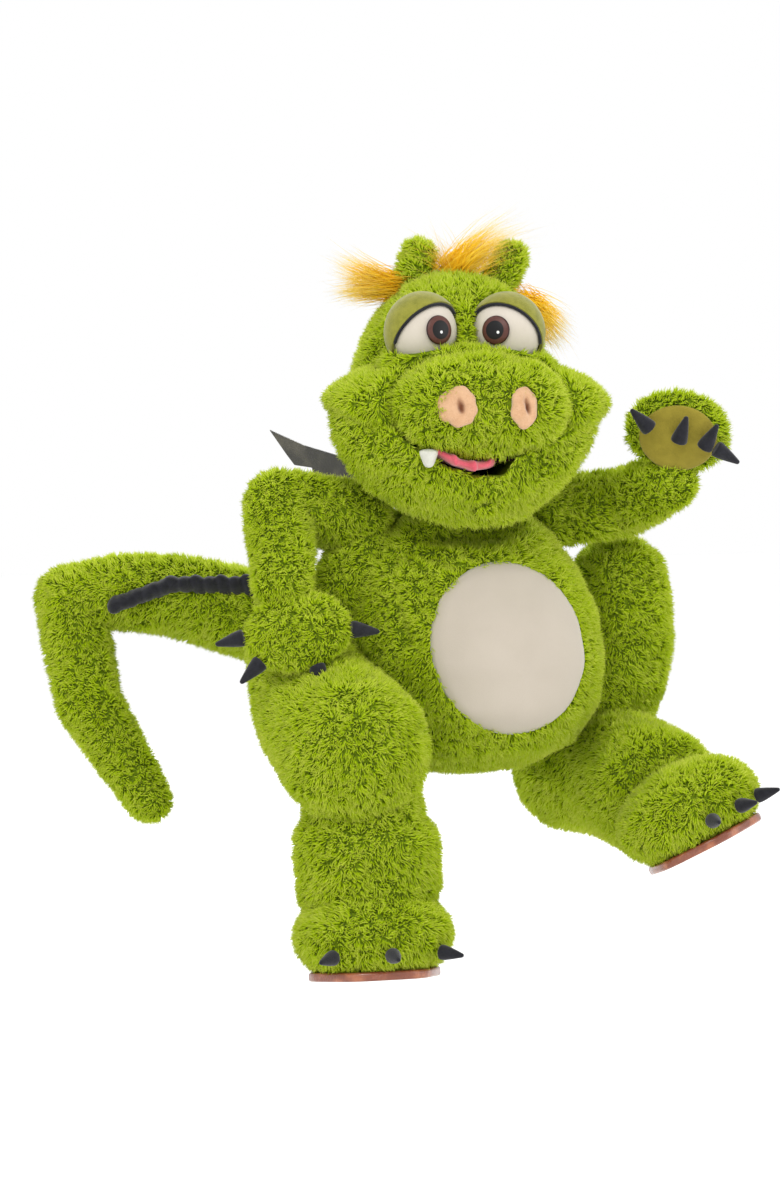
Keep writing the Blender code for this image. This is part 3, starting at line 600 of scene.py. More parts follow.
def pile_on(skin, comb, keep=None, under=(), per_face=3.0, length=0.0080, width=0.00178, lean=0.75):
    """Plush over a skin: combed one way, with curls that lie together in small locks."""
    places, normals = spots_on(skin, per_face)
    trees = [BVHTree.FromObject(item, bpy.context.evaluated_depsgraph_get()) for item in under]
    wanted = []
    for index, (point, normal) in enumerate(zip(places, normals)):
        if keep and not keep(Vector(point), Vector(normal)):
            continue
        if any(inside(tree, point, 0.0008) for tree in trees):
            continue
        wanted.append(index)
    places = places[wanted]
    normals = normals[wanted]
    curl = np.array([noise.noise_vector(Vector(point) * 170.0)[:] for point in places])
    drift = np.array([noise.noise_vector(Vector(point) * 28.0)[:] for point in places])
    wild = GRAIN.normal(size=places.shape)
    combed = np.array(comb)[None, :] * 0.55 + curl * 1.5 + drift * 0.7 + wild * 0.22
    combed -= normals * np.sum(combed * normals, axis=1, keepdims=True)
    along = normals + combed * lean
    size = GRAIN.uniform(0.75, 1.2, len(places))
    base = skin.name.replace("_skin", "_fur")
    widths = width * GRAIN.uniform(0.8, 1.2, len(places))
    bend = GRAIN.uniform(0.10, 0.35, len(places))
    return tufts(base, TUFT, places, along, length * size, widths, combed, bend, FUR)


def tube(name, points, radius, material, resolution=3):
    """A closed round cord of felt or piping along points."""
    curve = bpy.data.curves.new(name, "CURVE")
    curve.dimensions = "3D"
    curve.bevel_depth = radius
    curve.bevel_resolution = resolution
    curve.use_fill_caps = True
    spline = curve.splines.new("POLY")
    spline.points.add(len(points) - 1)
    for place, point in zip(spline.points, points):
        place.co = (*point, 1.0)
    made = bpy.data.objects.new(name, curve)
    bpy.context.scene.collection.objects.link(made)
    bpy.context.view_layer.update()
    data = bpy.data.meshes.new_from_object(made.evaluated_get(bpy.context.evaluated_depsgraph_get()))
    bpy.data.objects.remove(made)
    mesh = bmesh.new()
    mesh.from_mesh(data)
    bpy.data.meshes.remove(data)
    bmesh.ops.remove_doubles(mesh, verts=mesh.verts, dist=0.00002)
    return piece(name, mesh, material)


def edged(name, node, material, bevel=0.0010, rise=0.0):
    """A flat CAD node with its edges rounded over, and its upper face raised."""
    mesh = node_mesh(node)
    for vert in mesh.verts:
        if rise and vert.normal.z > 0.0:
            vert.co += Vector(rise)
    bmesh.ops.dissolve_limit(mesh, angle_limit=0.03, verts=mesh.verts, edges=mesh.edges)
    made = piece(name, mesh, material)
    modify(made, "BEVEL", width=bevel, segments=3, limit_method="ANGLE")
    applied(made)
    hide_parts(node)
    return made


def on_body(body, *items, slot=None):
    """Pieces that ride on one body; the slot argument is not used."""
    for item in items:
        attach(item, body)


def on_joint(first, second, start, end, *items):
    """Pieces of cloth between one body and the next, with their placing baked into their meshes."""
    for item in items:
        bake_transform(item)


# ---------------------------------------------------------------- body, neck and belly


def off_patch_and_tunnel(point, normal):
    """Off the belly patch and out of the hand tunnel."""
    half_x, half_z = BELLY_HALF
    level = (point.z - BELLY_HEIGHT) / (half_z - 0.0015)
    if point.y < 0.0 and (point.x / (half_x - 0.0015)) ** 2 + level ** 2 < 1.0:
        return False
    return not in_hollow(point, normal, TUNNEL, TUNNEL_REACH)


def sew_belly(skin):
    """The round velour patch: a disc laid on the front of the body skin and turned under at its edge."""
    tree = BVHTree.FromObject(skin, bpy.context.evaluated_depsgraph_get())
    mesh = bmesh.new()
    bmesh.ops.create_grid(mesh, x_segments=44, y_segments=44, size=1.0)
    for vert in mesh.verts:
        x, y = vert.co.x, vert.co.y
        flat = Vector((x * math.sqrt(1.0 - y * y / 2.0), y * math.sqrt(1.0 - x * x / 2.0)))
        start = Vector((flat.x * BELLY_HALF[0], -0.4, BELLY_HEIGHT + flat.y * BELLY_HALF[1]))
        hit, normal, _, _ = tree.ray_cast(start, Vector((0.0, 1.0, 0.0)))
        crown = 0.0042 * (1.0 - max(0.0, flat.length - 0.93) / 0.07 * 0.75)
        vert.co = hit + normal * crown
    smoothed(mesh, [vert for vert in mesh.verts if not vert.is_boundary], 4)
    bmesh.ops.recalc_face_normals(mesh, faces=mesh.faces)
    patch = piece("belly_velour", mesh, BELLY)
    modify(patch, "SOLIDIFY", thickness=0.0022, offset=-1.0)
    applied(patch)
    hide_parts("belly_patch")
    return patch


TUNNEL_REACH = 0.0415
SOLE_RISE = {"r": Vector((0.0001, 0.0005, 0.0034)), "l": Vector((-0.0012, 0.0010, 0.0030))}
LIMB_JOINTS = ("shoulder", "elbow", "wrist", "hip", "knee")
shoulders, elbows, wrists, hips, knees = (
    {side: JOINTS[f"{joint}_{side}"] for side, _ in SIDES} for joint in LIMB_JOINTS
)

FLANK_LINE = vectors((-0.086, 0.002, -0.028), (-0.098, 0.002, -0.060), (-0.098, -0.004, -0.110))
flank = row(FLANK_LINE, (0.030, 0.036, 0.030))
body_skin = stuffed("body_skin", ("torso_cover",), flank)
ELBOW_BEND = 0.022  # half the length of arm each side of the elbow
TAIL_BEND_REACH = 0.026
THIGH_HEM = -0.240  # height at which the right thigh hangs over the shin


def eased(share):
    """A share from 0 to 1 that starts and ends gently."""
    return share * share * (3.0 - 2.0 * share)


def tuck(skin, level, depth):
    """Draw a shin in under the hem of the thigh."""
    normals = [vert.normal.copy() for vert in skin.data.vertices]
    for vert, normal in zip(skin.data.vertices, normals):
        near = max(0.0, 1.0 - max(0.0, level - vert.co.z) / 0.016)
        if near > 0.0:
            vert.co -= normal * depth * eased(near)
    skin.data.update()


neck_skin = stuffed("neck_skin", ("neck_sleeve",), [], swell=-0.001)

arm_skins, hand_skins, thigh_skins, shin_skins = {}, {}, {}, {}
for side, sign in SIDES:
    reach = (wrists[side] - elbows[side]).normalized()
    path = (shoulders[side], elbows[side], wrists[side] + reach * 0.004)
    arm_skins[side] = stuffed(f"arm_{side}_skin", (), row(path, (0.032, 0.031, 0.026)))
    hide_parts(f"upper_arm_{side}", f"forearm_{side}")
    hand_skins[side] = stuffed(f"hand_{side}_skin", (f"hand_{side}",), [], rounds=4)
    if side == "r":
        knee_over = knees[side] + Vector((-0.012, -0.013, 0.023))
        inner_hip = hips[side] + Vector((0.024, -0.010, 0.002))
        mid_thigh = hips[side].lerp(knees[side], 0.5) + Vector((0.006, 0.0, 0.0))
        beads = row((inner_hip, mid_thigh, knee_over), (0.044, 0.057, 0.064))
        thigh_skins[side] = stuffed(f"thigh_{side}_skin", (), beads)
        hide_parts(f"thigh_{side}")
    else:
        beads = row((hips[side], knees[side] + Vector((0.0, -0.004, 0.022))), (0.047, 0.052))
        thigh_skins[side] = stuffed(f"thigh_{side}_skin", (f"thigh_{side}",), beads)
    knee_fill = []
    if side == "l":
        offsets = vectors((-0.019, -0.004, -0.009), (0.0, -0.05, -0.01))
        knee_ends = [knees[side] + offset for offset in offsets]
        knee_fill = row(knee_ends, (0.054, 0.054))
    shin_skins[side] = stuffed(f"shin_{side}_skin", (f"lower_leg_{side}",), knee_fill)
    if side == "r":
        tuck(shin_skins[side], THIGH_HEM, 0.007)

TAIL_BEND = JOINTS["tail_curl"]
TAIL_LINE = (
    JOINTS["tail_swing"],
    Vector((-0.106, 0.184, -0.098)),
    Vector((-0.180, 0.210, -0.078)),
    Vector((-0.229, 0.222, -0.074)),
    TAIL_BEND,
    Vector((-0.262, 0.212, -0.170)),
    Vector((-0.218, 0.178, -0.256)),
)
TAIL_WIDTH = (0.045, 0.043, 0.037, 0.034, 0.032, 0.030, 0.021)
tail_skin = stuffed("tail_skin", (), row(TAIL_LINE, TAIL_WIDTH))
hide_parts("tail_base", "tail_tip")

brow = vectors((-0.074, -0.084, 0.126), (-0.045, -0.099, 0.130), (-0.005, -0.103, 0.132))
brow += vectors((0.035, -0.099, 0.130), (0.064, -0.087, 0.126))
cheeks = row([HEAD @ place for place in brow], [0.0145] * len(brow))
muzzle_ends = vectors((-0.036, -0.129, 0.097), (0.032, -0.129, 0.097))
cheeks += row([HEAD @ place for place in muzzle_ends], (0.039, 0.038))
head_skin = stuffed("head_skin", ("head_cover",), cheeks, swell=-0.0015, rounds=5)
jaw_skin = stuffed("jaw_skin", ("jaw_cover",), [], swell=-0.0030, rounds=3)


def between(value, table):
    """A value read off a table of pairs, straight between them."""
    return float(np.interp(value, [pair[0] for pair in table], [pair[1] for pair in table]))


def lip_height(x):
    return 0.050 + 0.048 * (x / 0.120) ** 2


def mouth_gap(x):
    return 0.0016 + 0.0125 * math.exp(-((x / 0.055) ** 2))


# How full the stuffed head is at each height, on its right and on its left
HEAD_RIGHT = ((0.100, 1.0), (0.125, 0.93), (0.150, 0.88), (0.165, 0.85), (0.185, 0.83), (0.210, 0.88))
HEAD_LEFT = ((0.100, 1.0), (0.125, 0.90), (0.140, 0.86), (0.163, 0.88), (0.185, 0.88), (0.210, 0.90))
JAW_RIGHT = ((0.008, 0.84), (0.030, 0.90), (0.064, 0.96), (0.090, 1.0))
JAW_LEFT = ((0.008, 0.74), (0.030, 0.79), (0.064, 0.90), (0.090, 0.98))
LIP_OPEN = 0.070  # how far the open part of the mouth reaches on the right
LIP_OPEN_LEFT = 0.030


def fill_out(skin, right, left, lip_lift):
    """Shape the stuffing of the head or jaw, and bring the lower lip up to close the mouth's corners."""
    for vert in skin.data.vertices:
        local = HEAD_BACK @ vert.co
        edge = min(1.0, abs(local.x) / 0.06)
        full = between(local.z, right if local.x < 0.0 else left)
        local.x *= 1.0 + (full - 1.0) * edge
        if lip_lift:
            low_lip = lip_height(local.x) - mouth_gap(local.x)
            near = min(1.0, max(0.0, (local.z - low_lip + 0.014) / 0.010))
            reach = LIP_OPEN if local.x < 0.0 else LIP_OPEN_LEFT
            shut = min(1.0, max(0.0, (abs(local.x) - reach + 0.016) / 0.016))
            closed = mouth_gap(local.x) + 0.0055 - lip_lift
            local.z += near * (lip_lift + closed * eased(shut))
        vert.co = HEAD @ local
    skin.data.update()


fill_out(head_skin, HEAD_RIGHT, HEAD_LEFT, 0.0)
fill_out(jaw_skin, JAW_RIGHT, JAW_LEFT, 0.0060)
ear_skins = [stuffed(f"ear_{side}_skin", (f"ear_{side}",), [], swell=-0.002, rounds=3) for side, _ in SIDES]

belly = sew_belly(body_skin)

DOWN = (0.0, 0.0, -1.0)
limb_skins = [*arm_skins.values(), *thigh_skins.values()]
ARMPIT_DARTS = (
    ((-0.076, -0.032), (-0.084, -0.100)),
    ((-0.072, -0.032), (-0.050, -0.080)),
    ((-0.068, -0.028), (-0.030, -0.046)),
)
tree = BVHTree.FromObject(body_skin, bpy.context.evaluated_depsgraph_get())
darts = []
for ends in ARMPIT_DARTS:
    hits = [tree.ray_cast(Vector((x, -0.4, z)), Vector((0.0, 1.0, 0.0)))[0] for x, z in ends]
    darts.append([hit for hit in hits if hit])
DART_DEPTH, DART_WIDTH = 0.0070, 0.0050
press(body_skin, darts, DART_DEPTH, DART_WIDTH)
body_fur = pile_on(body_skin, DOWN, off_patch_and_tunnel, limb_skins)
on_body("body", body_skin, belly, *body_fur)


def outer_side(point, normal):
    """Off the inner wall of the neck sleeve."""
    return Vector((point.x, point.y, 0.0)).dot(normal) > 0.0


on_body("neck", neck_skin, *pile_on(neck_skin, DOWN, outer_side))

for side, sign in SIDES:
    arm = arm_skins[side]
    upper = (elbows[side] - shoulders[side]).normalized()
    lower = (wrists[side] - elbows[side]).normalized()
    fur = pile_on(arm, tuple(lower), None, (body_skin, hand_skins[side]))
    bend_from, bend_to = elbows[side] - upper * ELBOW_BEND, elbows[side] + lower * ELBOW_BEND
    on_joint(f"upper_arm_{side}", f"forearm_{side}", bend_from, bend_to, arm, *fur)
    hand = hand_skins[side]
    palm = softened(f"palm_felt_{side}", f"palm_{side}", PALM)
    on_body(f"hand_{side}", hand, palm, *pile_on(hand, tuple(lower), None, (arm, palm)))
    for number in range(1, 5):
        node = f"hand_claw_{side}{number}"
        on_body(f"hand_{side}", softened(f"finger_claw_{side}{number}", node, BLACK, grow=1.35))

    thigh = thigh_skins[side]
    shin = shin_skins[side]
    on_body(f"thigh_{side}", thigh, *pile_on(thigh, DOWN, None, (body_skin,)))
    sole = edged(f"foot_sole_{side}", f"sole_{side}", SOLE, 0.0022, SOLE_RISE[side])
    on_body(f"lower_leg_{side}", shin, sole, *pile_on(shin, DOWN, None, (thigh, sole)))
    for number in range(1, 4):
        node = f"foot_claw_{side}{number}"
        on_body(f"lower_leg_{side}", softened(f"toe_claw_{side}{number}", node, BLACK, grow=1.2))

tail_in = (TAIL_BEND - TAIL_LINE[3]).normalized()
tail_out = (TAIL_LINE[5] - TAIL_BEND).normalized()
tail_fur = pile_on(tail_skin, (-0.7, 0.1, -0.7), None, (body_skin,))
bend_from, bend_to = TAIL_BEND - tail_in * TAIL_BEND_REACH, TAIL_BEND + tail_out * TAIL_BEND_REACH
on_joint("tail", "tail_end", bend_from, bend_to, tail_skin, *tail_fur)


# ---------------------------------------------------------------- wings and tail ridge


for side, _ in SIDES:
    on_body(f"wing_{side}", edged(f"wing_panel_{side}", f"wing_{side}", WING))


def tail_scales():
    """The row of soft black scales along the front of the tail."""
    spine = Vector((-0.42, -0.90, 0.0)).normalized()
    points = []
    for point, radius, lift in zip(TAIL_LINE[1:4], (0.043, 0.037, 0.033), (0.9, 0.35, -0.25)):
        points.append(point + (spine + UP * lift).normalized() * (radius + 0.002))
    mesh = bmesh.new()
    count = 15
    for index in range(count):
        share = index / (count - 1) * 2.0
        first = min(int(share), 1)
        centre = points[first].lerp(points[first + 1], share - first)
        along = (points[first + 1] - points[first]).normalized()
        outward = (centre - TAIL_LINE[1 + first].lerp(TAIL_LINE[2 + first], share - first)).normalized()
        turn = axes(along, outward)
        size = Vector((0.0078, 0.0072, 0.0145 - 0.003 * index / count))
        stretch = Matrix.Diagonal(size).to_4x4()
        tilt = Matrix.Rotation(0.5 * (-1.0) ** index, 4, "Z") @ Matrix.Rotation(0.3, 4, "Y")
        place = put(turn, centre) @ tilt @ stretch
        bmesh.ops.create_uvsphere(mesh, u_segments=16, v_segments=10, radius=1.0, matrix=place)
    made = piece("tail_scales", mesh, BLACK)
    modify(made, "REMESH", mode="VOXEL", voxel_size=0.0012)
    applied(made)
    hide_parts("tail_ridge")
    return made


on_body("tail", tail_scales())


# ---------------------------------------------------------------- head


def in_ellipsoid(point, centre, radii, extra):
    return sum(((point[i] - centre[i]) / (radii[i] + extra)) ** 2 for i in range(3)) < 1.0


FINGER_LINE = vectors((0.005, 0.0, 0.056), (0.005, 0.0, 0.076), (0.0, -0.070, 0.092), (0.0, -0.112, 0.084))
THUMB_LINE = vectors((0.0, -0.040, 0.018), (0.0, -0.118, 0.018))
NOSTRILS = {side: Vector((0.0275 * sign - 0.003, -0.1655, 0.096)) for side, sign in SIDES}
EYES = {side: EYE + Vector((EYE_APART * sign, 0.0, 0.0)) for side, sign in SIDES}


def on_face(point, normal):
    """Where the head has pile: off the eyes, nostrils and mouth, and out of the hollows."""
    local = HEAD_BACK @ point
    facing = HEAD_BACK.to_3x3() @ normal
    for side, _ in SIDES:
        if in_ellipsoid(local, EYES[side], EYE_RADII, 0.0045):
            return False
        if in_ellipsoid(local, NOSTRILS[side], (0.0125, 0.0140, 0.0130), 0.0):
            return False
    if in_hollow(local, facing, FINGER_LINE, 0.055):
        return False
    open_lip = -LIP_OPEN < local.x < LIP_OPEN_LEFT
    return not (open_lip and local.z < lip_height(local.x) + 0.0055 and normal.z < -0.35)


def on_jaw(point, normal):
    local = HEAD_BACK @ point
    if in_hollow(local, HEAD_BACK.to_3x3() @ normal, THUMB_LINE, 0.0185):
        return False
    low_lip = lip_height(local.x) - mouth_gap(local.x)
    return not (-LIP_OPEN < local.x < LIP_OPEN_LEFT and local.z > low_lip - 0.0005 and normal.z > 0.35)


def traced(skin, outline, into):
    """Points of a head-frame outline of X and Z, laid on the skin by looking along a direction."""
    tree = BVHTree.FromObject(skin, bpy.context.evaluated_depsgraph_get())
    found = []
    for x, z in outline:
        hit = tree.ray_cast(HEAD @ Vector((x, -0.4, z)), HEAD.to_3x3() @ into)[0]
        if hit:
            found.append(hit)
    return found


AHEAD = Vector((0.0, 1.0, 0.0))
CHEEK_FOLDS = (
    ((-0.083, 0.124), (-0.078, 0.134), (-0.070, 0.142)),
    ((0.078, 0.124), (0.074, 0.134), (0.066, 0.142)),
)
SNOUT_EDGE = ((-0.040, 0.134), (-0.060, 0.128), (-0.077, 0.112), (-0.080, 0.090), (-0.072, 0.074))
SNOUT_FAR_EDGE = ((0.036, 0.134), (0.056, 0.127), (0.072, 0.108), (0.074, 0.086), (0.066, 0.072))
press(head_skin, [traced(head_skin, line, AHEAD) for line in CHEEK_FOLDS], 0.0060, 0.0050)
press(head_skin, [traced(head_skin, line, AHEAD) for line in (SNOUT_EDGE, SNOUT_FAR_EDGE)], 0.0100, 0.0055)
head_fur = pile_on(head_skin, (0.0, 0.3, -0.5), on_face, ear_skins)
jaw_fur = pile_on(jaw_skin, DOWN, on_jaw)
on_body("head", head_skin, *head_fur)
on_body("jaw", jaw_skin, *jaw_fur)
for skin in ear_skins:
    on_body("head", skin, *pile_on(skin, (0.0, 0.0, 0.6), None, (head_skin,)))


def ball(name, centre, radii, material, turn=None, segments=48, rings=28):
    """A fine ellipsoid in the head's frame, as a bmesh already placed."""
    mesh = bmesh.new()
    bmesh.ops.create_uvsphere(mesh, u_segments=segments, v_segments=rings, radius=1.0)
    bmesh.ops.scale(mesh, vec=radii, verts=mesh.verts)
    bmesh.ops.transform(mesh, matrix=HEAD @ put(turn or Matrix.Identity(3), centre), verts=mesh.verts)
    return piece(name, mesh, material)


def on_ellipsoid(start, ray, centre, half):
    """Where a ray from a point inside an ellipsoid meets its surface."""
    a = sum((ray[i] / half[i]) ** 2 for i in range(3))
    b = sum((start[i] - centre[i]) * ray[i] / half[i] ** 2 for i in range(3))
    c = sum(((start[i] - centre[i]) / half[i]) ** 2 for i in range(3)) - 1.0
    return start + ray * ((-b + math.sqrt(max(0.0, b * b - a * c))) / a)


IRIS_RADII = Vector((0.0122, 0.0122, 0.0034))


def make_eye(side, sign):
    centre = EYES[side]
    eye = ball(f"eye_{side}", centre, EYE_RADII, EYE_WHITE)
    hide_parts(f"eyeball_{side}")
    facing = Vector(((IRIS_X[side] - centre.x) * 1.2, -EYE_RADII.y, 0.002)).normalized()
    turn = axes(Vector((1.0, 0.0, 0.0)), facing)
    place = centre + facing * (EYE_RADII.y + 0.0003)
    front = HEAD @ (place + facing * 0.0034)
    # where the painted highlight, a white dot for a reflection of the lamps, sits on each iris
    highlight_x = 0.0004 if side == "r" else 0.0034
    painted_highlight = front + Vector((highlight_x * 0.9063, -highlight_x * 0.4226, -0.0020))
    ahead = HEAD.to_3x3() @ facing
    painted_highlight -= ahead * (painted_highlight - front).dot(ahead)
    moulded = iris_material(f"moulded_iris_{side}", front, painted_highlight)
    iris = ball(f"eye_iris_{side}", place, IRIS_RADII, moulded, turn)
    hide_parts(f"iris_{side}")

    half = EYE_RADII + Vector((0.0036, 0.0036, 0.0042))
    hinge = centre - UP * 0.004
    upward = Vector((sign * 0.42, 0.70, 0.55)).normalized()
    mesh = bmesh.new()
    bmesh.ops.create_uvsphere(mesh, u_segments=64, v_segments=40, radius=1.0)
    bmesh.ops.scale(mesh, vec=half, verts=mesh.verts)
    bmesh.ops.translate(mesh, vec=centre, verts=mesh.verts)
    everything = mesh.verts[:] + mesh.edges[:] + mesh.faces[:]
    bmesh.ops.bisect_plane(mesh, geom=everything, plane_co=hinge, plane_no=-upward, clear_outer=True)
    bmesh.ops.transform(mesh, matrix=HEAD, verts=mesh.verts)
    lid = piece(f"lid_{side}", mesh, LID)
    modify(lid, "SOLIDIFY", thickness=0.0026, offset=-1.0)
    modify(lid, "BEVEL", width=0.0008, segments=2)
    applied(lid)
    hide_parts(f"eyelid_{side}")

    across = upward.cross(Vector((0.0, 0.0, 1.0))).normalized()
    forward = upward.cross(across).normalized()
    if forward.y > 0.0:
        forward = -forward
    rim = []
    piping = EYE_RADII + Vector((0.0018, 0.0018, 0.0018))
    for step in range(49):
        angle = math.radians(-12.0 + 204.0 * step / 48)
        ray = across * math.cos(angle) + forward * math.sin(angle)
        rim.append(HEAD @ on_ellipsoid(hinge - upward * 0.0006, ray, centre, piping))
    lash = tube(f"lash_line_{side}", rim, 0.0013, BLACK)
    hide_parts(f"lash_{side}")
    on_body("head", eye, lid, lash)
    on_body("head", iris, slot="iris")


# the crease is also the centre of the nostril's painted shade
CREASE_AT = Vector((0.0026, 0.0, 0.0))  # where the fleece of a nostril is gathered, from its middle


def make_nostril(side, sign):
    facing = Vector((0.20 * sign, -0.97, 0.06)).normalized()
    turn = axes(Vector((1.0, 0.0, 0.0)), facing)
    mesh = bmesh.new()
    bmesh.ops.create_uvsphere(mesh, u_segments=56, v_segments=40, radius=1.0)
    for vert in mesh.verts:
        wobble = 1.0 + 0.22 * noise.noise(Vector((vert.co.x, vert.co.y, 7.0 * sign)) * 1.7)
        across = vert.co.x - 0.16 + 0.12 * math.sin(vert.co.y * 3.0)
        crease = math.exp(-((across / 0.22) ** 2) - (vert.co.y / 0.55) ** 2)
        spokes = math.sin(7.0 * math.atan2(vert.co.y, across)) * math.hypot(across, vert.co.y)
        gather = 0.16 * noise.noise(vert.co * 3.4) + 0.09 * spokes
        height = vert.co.z * (1.0 + gather) - 0.85 * crease * max(vert.co.z, 0.0)
        vert.co = (vert.co.x * wobble, vert.co.y * wobble, height)
    bmesh.ops.scale(mesh, vec=(0.0165 if side == "r" else 0.0115, 0.0165, 0.0062), verts=mesh.verts)
    place = HEAD @ put(turn, NOSTRILS[side])
    bmesh.ops.transform(mesh, matrix=place, verts=mesh.verts)
    middle = place @ CREASE_AT
    made = piece(f"nostril_fleece_{side}", mesh, fleece_material(f"fleece_{side}", middle))
    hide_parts(f"nostril_{side}")
    on_body("head", made, slot="fleece")


for side, sign in SIDES:
    make_eye(side, sign)
    make_nostril(side, sign)


def stray():
    return Vector((random.gauss(0, 1), random.gauss(0, 1), random.gauss(0, 1)))


def hair(name, node, root, spread, locks, count, width=0.00042):
    """A bunch of long hair from one root, in locks that each have their own aim and bend."""
    places, along, lean, lengths, bends = [], [], [], [], []
    for _ in range(count):
        aim, bend_to, length, bend, _ = random.choices(locks, weights=[item[4] for item in locks])[0]
        offset = stray() * spread * 0.5
        places.append(HEAD @ (root + offset))
        scatter = stray() * 0.10
        along.append(HEAD.to_3x3() @ (aim.normalized() + scatter))
        lean.append(HEAD.to_3x3() @ (bend_to.normalized() + scatter * 1.5))
        lengths.append(length * random.uniform(0.62, 1.12))
        bends.append(bend * random.uniform(0.6, 1.3))
    places, along, lean, lengths, bends = (np.array(item) for item in (places, along, lean, lengths, bends))
    widths = np.full(count, width) * GRAIN.uniform(0.7, 1.3, count)
    made = tufts(name, STRAND, places, along, lengths, widths, lean, bends, HAIR)
    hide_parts(node)
    on_body("head", *made)


V = Vector
LEFT_LOCKS = (
    (V((-1.0, 0.0, 0.30)), V((0.0, 0.0, 0.2)), 0.062, 0.10, 4),
    (V((-1.0, 0.1, 0.05)), V((0.0, 0.0, -1.0)), 0.058, 0.12, 4),
    (V((-1.0, -0.2, -0.22)), V((0.0, 0.0, 1.0)), 0.052, 0.10, 3),
)
TOP_LOCKS = (
    (V((0.35, 0.0, 1.0)), V((1.0, 0.0, -0.6)), 0.066, 0.70, 6),
    (V((0.65, 0.1, 0.75)), V((1.0, 0.0, 0.3)), 0.056, 0.30, 4),
    (V((-0.50, 0.0, 1.0)), V((-1.0, 0.0, -0.1)), 0.050, 0.50, 1),
    (V((-0.15, 0.0, 1.0)), V((-1.0, 0.0, 0.0)), 0.042, 0.30, 1),
)
RIGHT_LOCKS = (
    (V((1.0, 0.0, -0.55)), V((0.0, 0.0, -1.0)), 0.050, 0.30, 5),
    (V((1.0, 0.0, -0.10)), V((0.0, 0.0, -1.0)), 0.044, 0.30, 3),
    (V((0.7, 0.0, -1.0)), V((1.0, 0.0, 0.0)), 0.052, 0.20, 3),
)
hair("hair_side_r", "hair_r", V((-0.049, -0.004, 0.196)), 0.010, LEFT_LOCKS, 900)
hair("hair_crest", "hair_top", V((-0.002, -0.012, 0.204)), 0.013, TOP_LOCKS, 900)
hair("hair_side_l", "hair_l", V((0.060, -0.010, 0.180)), 0.012, RIGHT_LOCKS, 700)


# ---------------------------------------------------------------- mouth


def mouth_lining():
    """The dark cloth that folds at the back of the mouth and joins the two boards."""
    mesh = bmesh.new()
    bmesh.ops.create_grid(mesh, x_segments=40, y_segments=20, size=1.0)
    for vert in mesh.verts:
        x = vert.co.x * 0.096
        back = JAW_HINGE.y - 0.004
        y = back - abs(vert.co.y) * 0.072 * (1.0 - 0.55 * vert.co.x ** 2)
        upper = lip_height(x) + 0.0008
        lower = lip_height(x) - mouth_gap(x) - 0.0008
        share = 0.5 + 0.5 * math.copysign(min(1.0, abs(vert.co.y) * 8.0) ** 0.5, vert.co.y)
        vert.co = HEAD @ Vector((x, y, upper + (lower - upper) * share))
    made = piece("mouth_lining", mesh, LINING)
    modify(made, "SOLIDIFY", thickness=0.0010)
    applied(made)
    return made


hinge = HEAD @ JAW_HINGE
lining = mouth_lining()
on_joint("head", "jaw", hinge + UP * 0.006, hinge - UP * 0.010, lining)
fang = softened("fang_tooth", "fang", FANG)
FANG_GROWTH = 1.55
FANG_SHIFT = HEAD.to_3x3() @ Vector((0.002, -0.016, 0.0015))
root = sum((vert.co for vert in fang.data.vertices), Vector()) / len(fang.data.vertices)
for vert in fang.data.vertices:
    vert.co = root + (vert.co - root) * FANG_GROWTH + FANG_SHIFT
on_body("head", edged("palate_cloth", "palate_board", LINING, 0.0004), fang)
tongue = softened("tongue_pad", "tongue", TONGUE)
tongue_floor = min(vert.co.z for vert in tongue.data.vertices)
TONGUE_PLUMPNESS = 0.75
TONGUE_SHIFT = HEAD.to_3x3() @ Vector((-0.009, -0.010, 0.0062))
for vert in tongue.data.vertices:
    vert.co.z += (vert.co.z - tongue_floor) * TONGUE_PLUMPNESS
    vert.co += TONGUE_SHIFT
on_body("jaw", edged("jaw_cloth", "jaw_board", LINING, 0.0004), tongue)


# ---------------------------------------------------------------- floor, light and camera


def soft_light(name, place, target, size, power, colour=(1.0, 1.0, 1.0)):
    lamp = bpy.data.lights.new(name, "AREA")
    lamp.shape = "RECTANGLE"
    lamp.size, lamp.size_y = size
    lamp.energy = power
    lamp.color = colour
    made = bpy.data.objects.new(name, lamp)
    made.location = place
    made.rotation_euler = (Vector(target) - Vector(place)).to_track_quat("-Z", "Y").to_euler()
    bpy.context.scene.collection.objects.link(made)


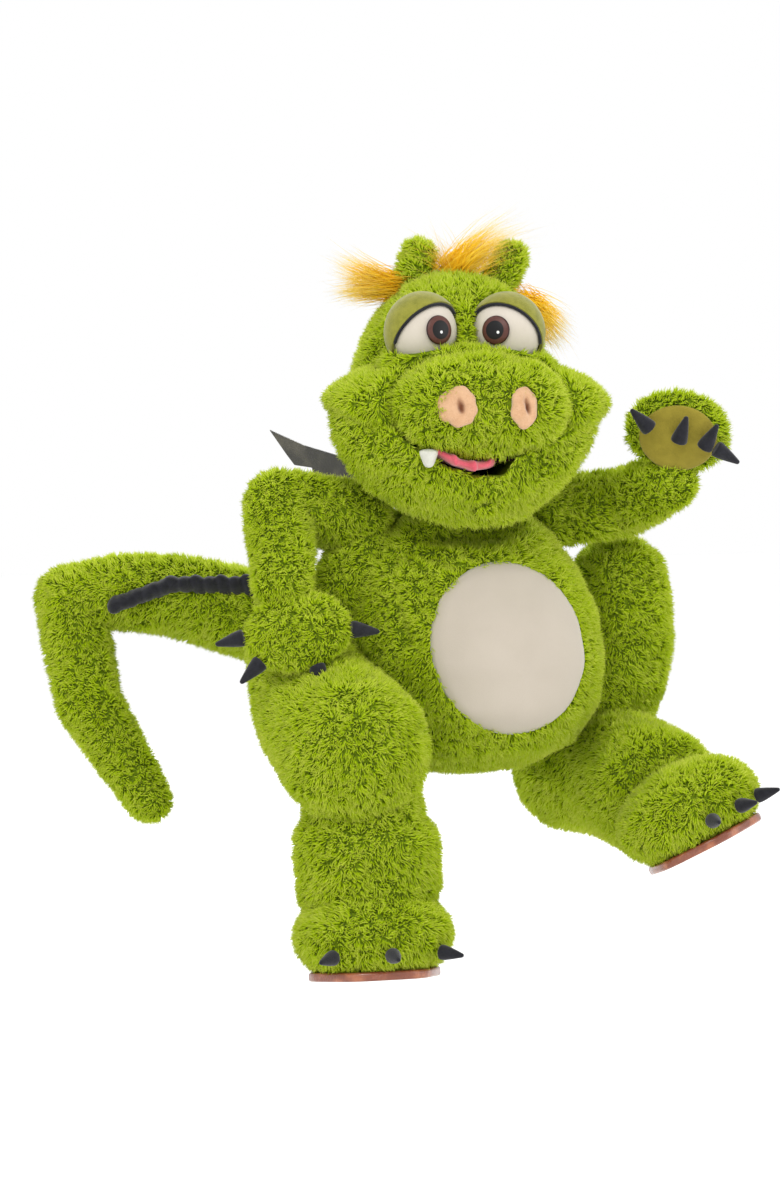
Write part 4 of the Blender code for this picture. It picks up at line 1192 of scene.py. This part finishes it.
def studio():
    """A flat pale floor below, soft lamps and a white room."""
    floor_level = CAD_BOX[0][2] - 0.100
    mesh = bmesh.new()
    bmesh.ops.create_grid(mesh, x_segments=1, y_segments=1, size=6.0)
    bmesh.ops.translate(mesh, vec=(0.0, 0.0, floor_level), verts=mesh.verts)
    paper = bpy.data.materials.new("floor_paper")
    paper.use_nodes = True
    shader = paper.node_tree.nodes["Principled BSDF"]
    shader.inputs["Base Color"].default_value = (1.0, 1.0, 1.0, 1.0)
    shader.inputs["Roughness"].default_value = 0.9
    floor = piece("floor", mesh, paper, smooth=False)
    room = bpy.data.worlds.new("room")
    room.use_nodes = True
    room.node_tree.nodes["Background"].inputs["Color"].default_value = (1.0, 1.0, 1.0, 1.0)
    room.node_tree.nodes["Background"].inputs["Strength"].default_value = 1.0
    bpy.context.scene.world = room
    bpy.context.scene.view_settings.view_transform = "Standard"
    middle = (0.0, 0.0, -0.06)
    # Lamps: place, aim, size and power
    soft_light("key", (-1.1, -1.7, 1.5), middle, (1.2, 1.2), 22.0)
    soft_light("fill", (1.6, -1.3, 0.4), middle, (1.4, 1.4), 7.0)
    soft_light("rim", (0.6, 1.5, 1.5), middle, (1.6, 1.0), 34.0)


def front_camera():
    """A camera 3 m off, 25 degrees round and 3 degrees up, in a tall frame with room round the puppet."""
    distance, azimuth, rise = 3.0, math.radians(25.0), math.radians(3.0)
    width, height = 780, 1196
    dot = 0.00086  # metres across one dot of the frame
    look = Vector((math.sin(azimuth) * math.cos(rise), math.cos(azimuth) * math.cos(rise), -math.sin(rise)))
    lens = bpy.data.cameras.new("camera")
    lens.sensor_fit = "HORIZONTAL"
    lens.sensor_width = 36.0
    lens.lens = 36.0 * distance / (width * dot)
    lens.shift_x = (width / 2 - 458) / width
    lens.shift_y = (515 - height / 2) / width
    camera = bpy.data.objects.new("camera", lens)
    camera.location = -look * distance
    camera.rotation_euler = look.to_track_quat("-Z", "Y").to_euler()
    bpy.context.scene.collection.objects.link(camera)
    bpy.context.scene.camera = camera


studio()
front_camera()
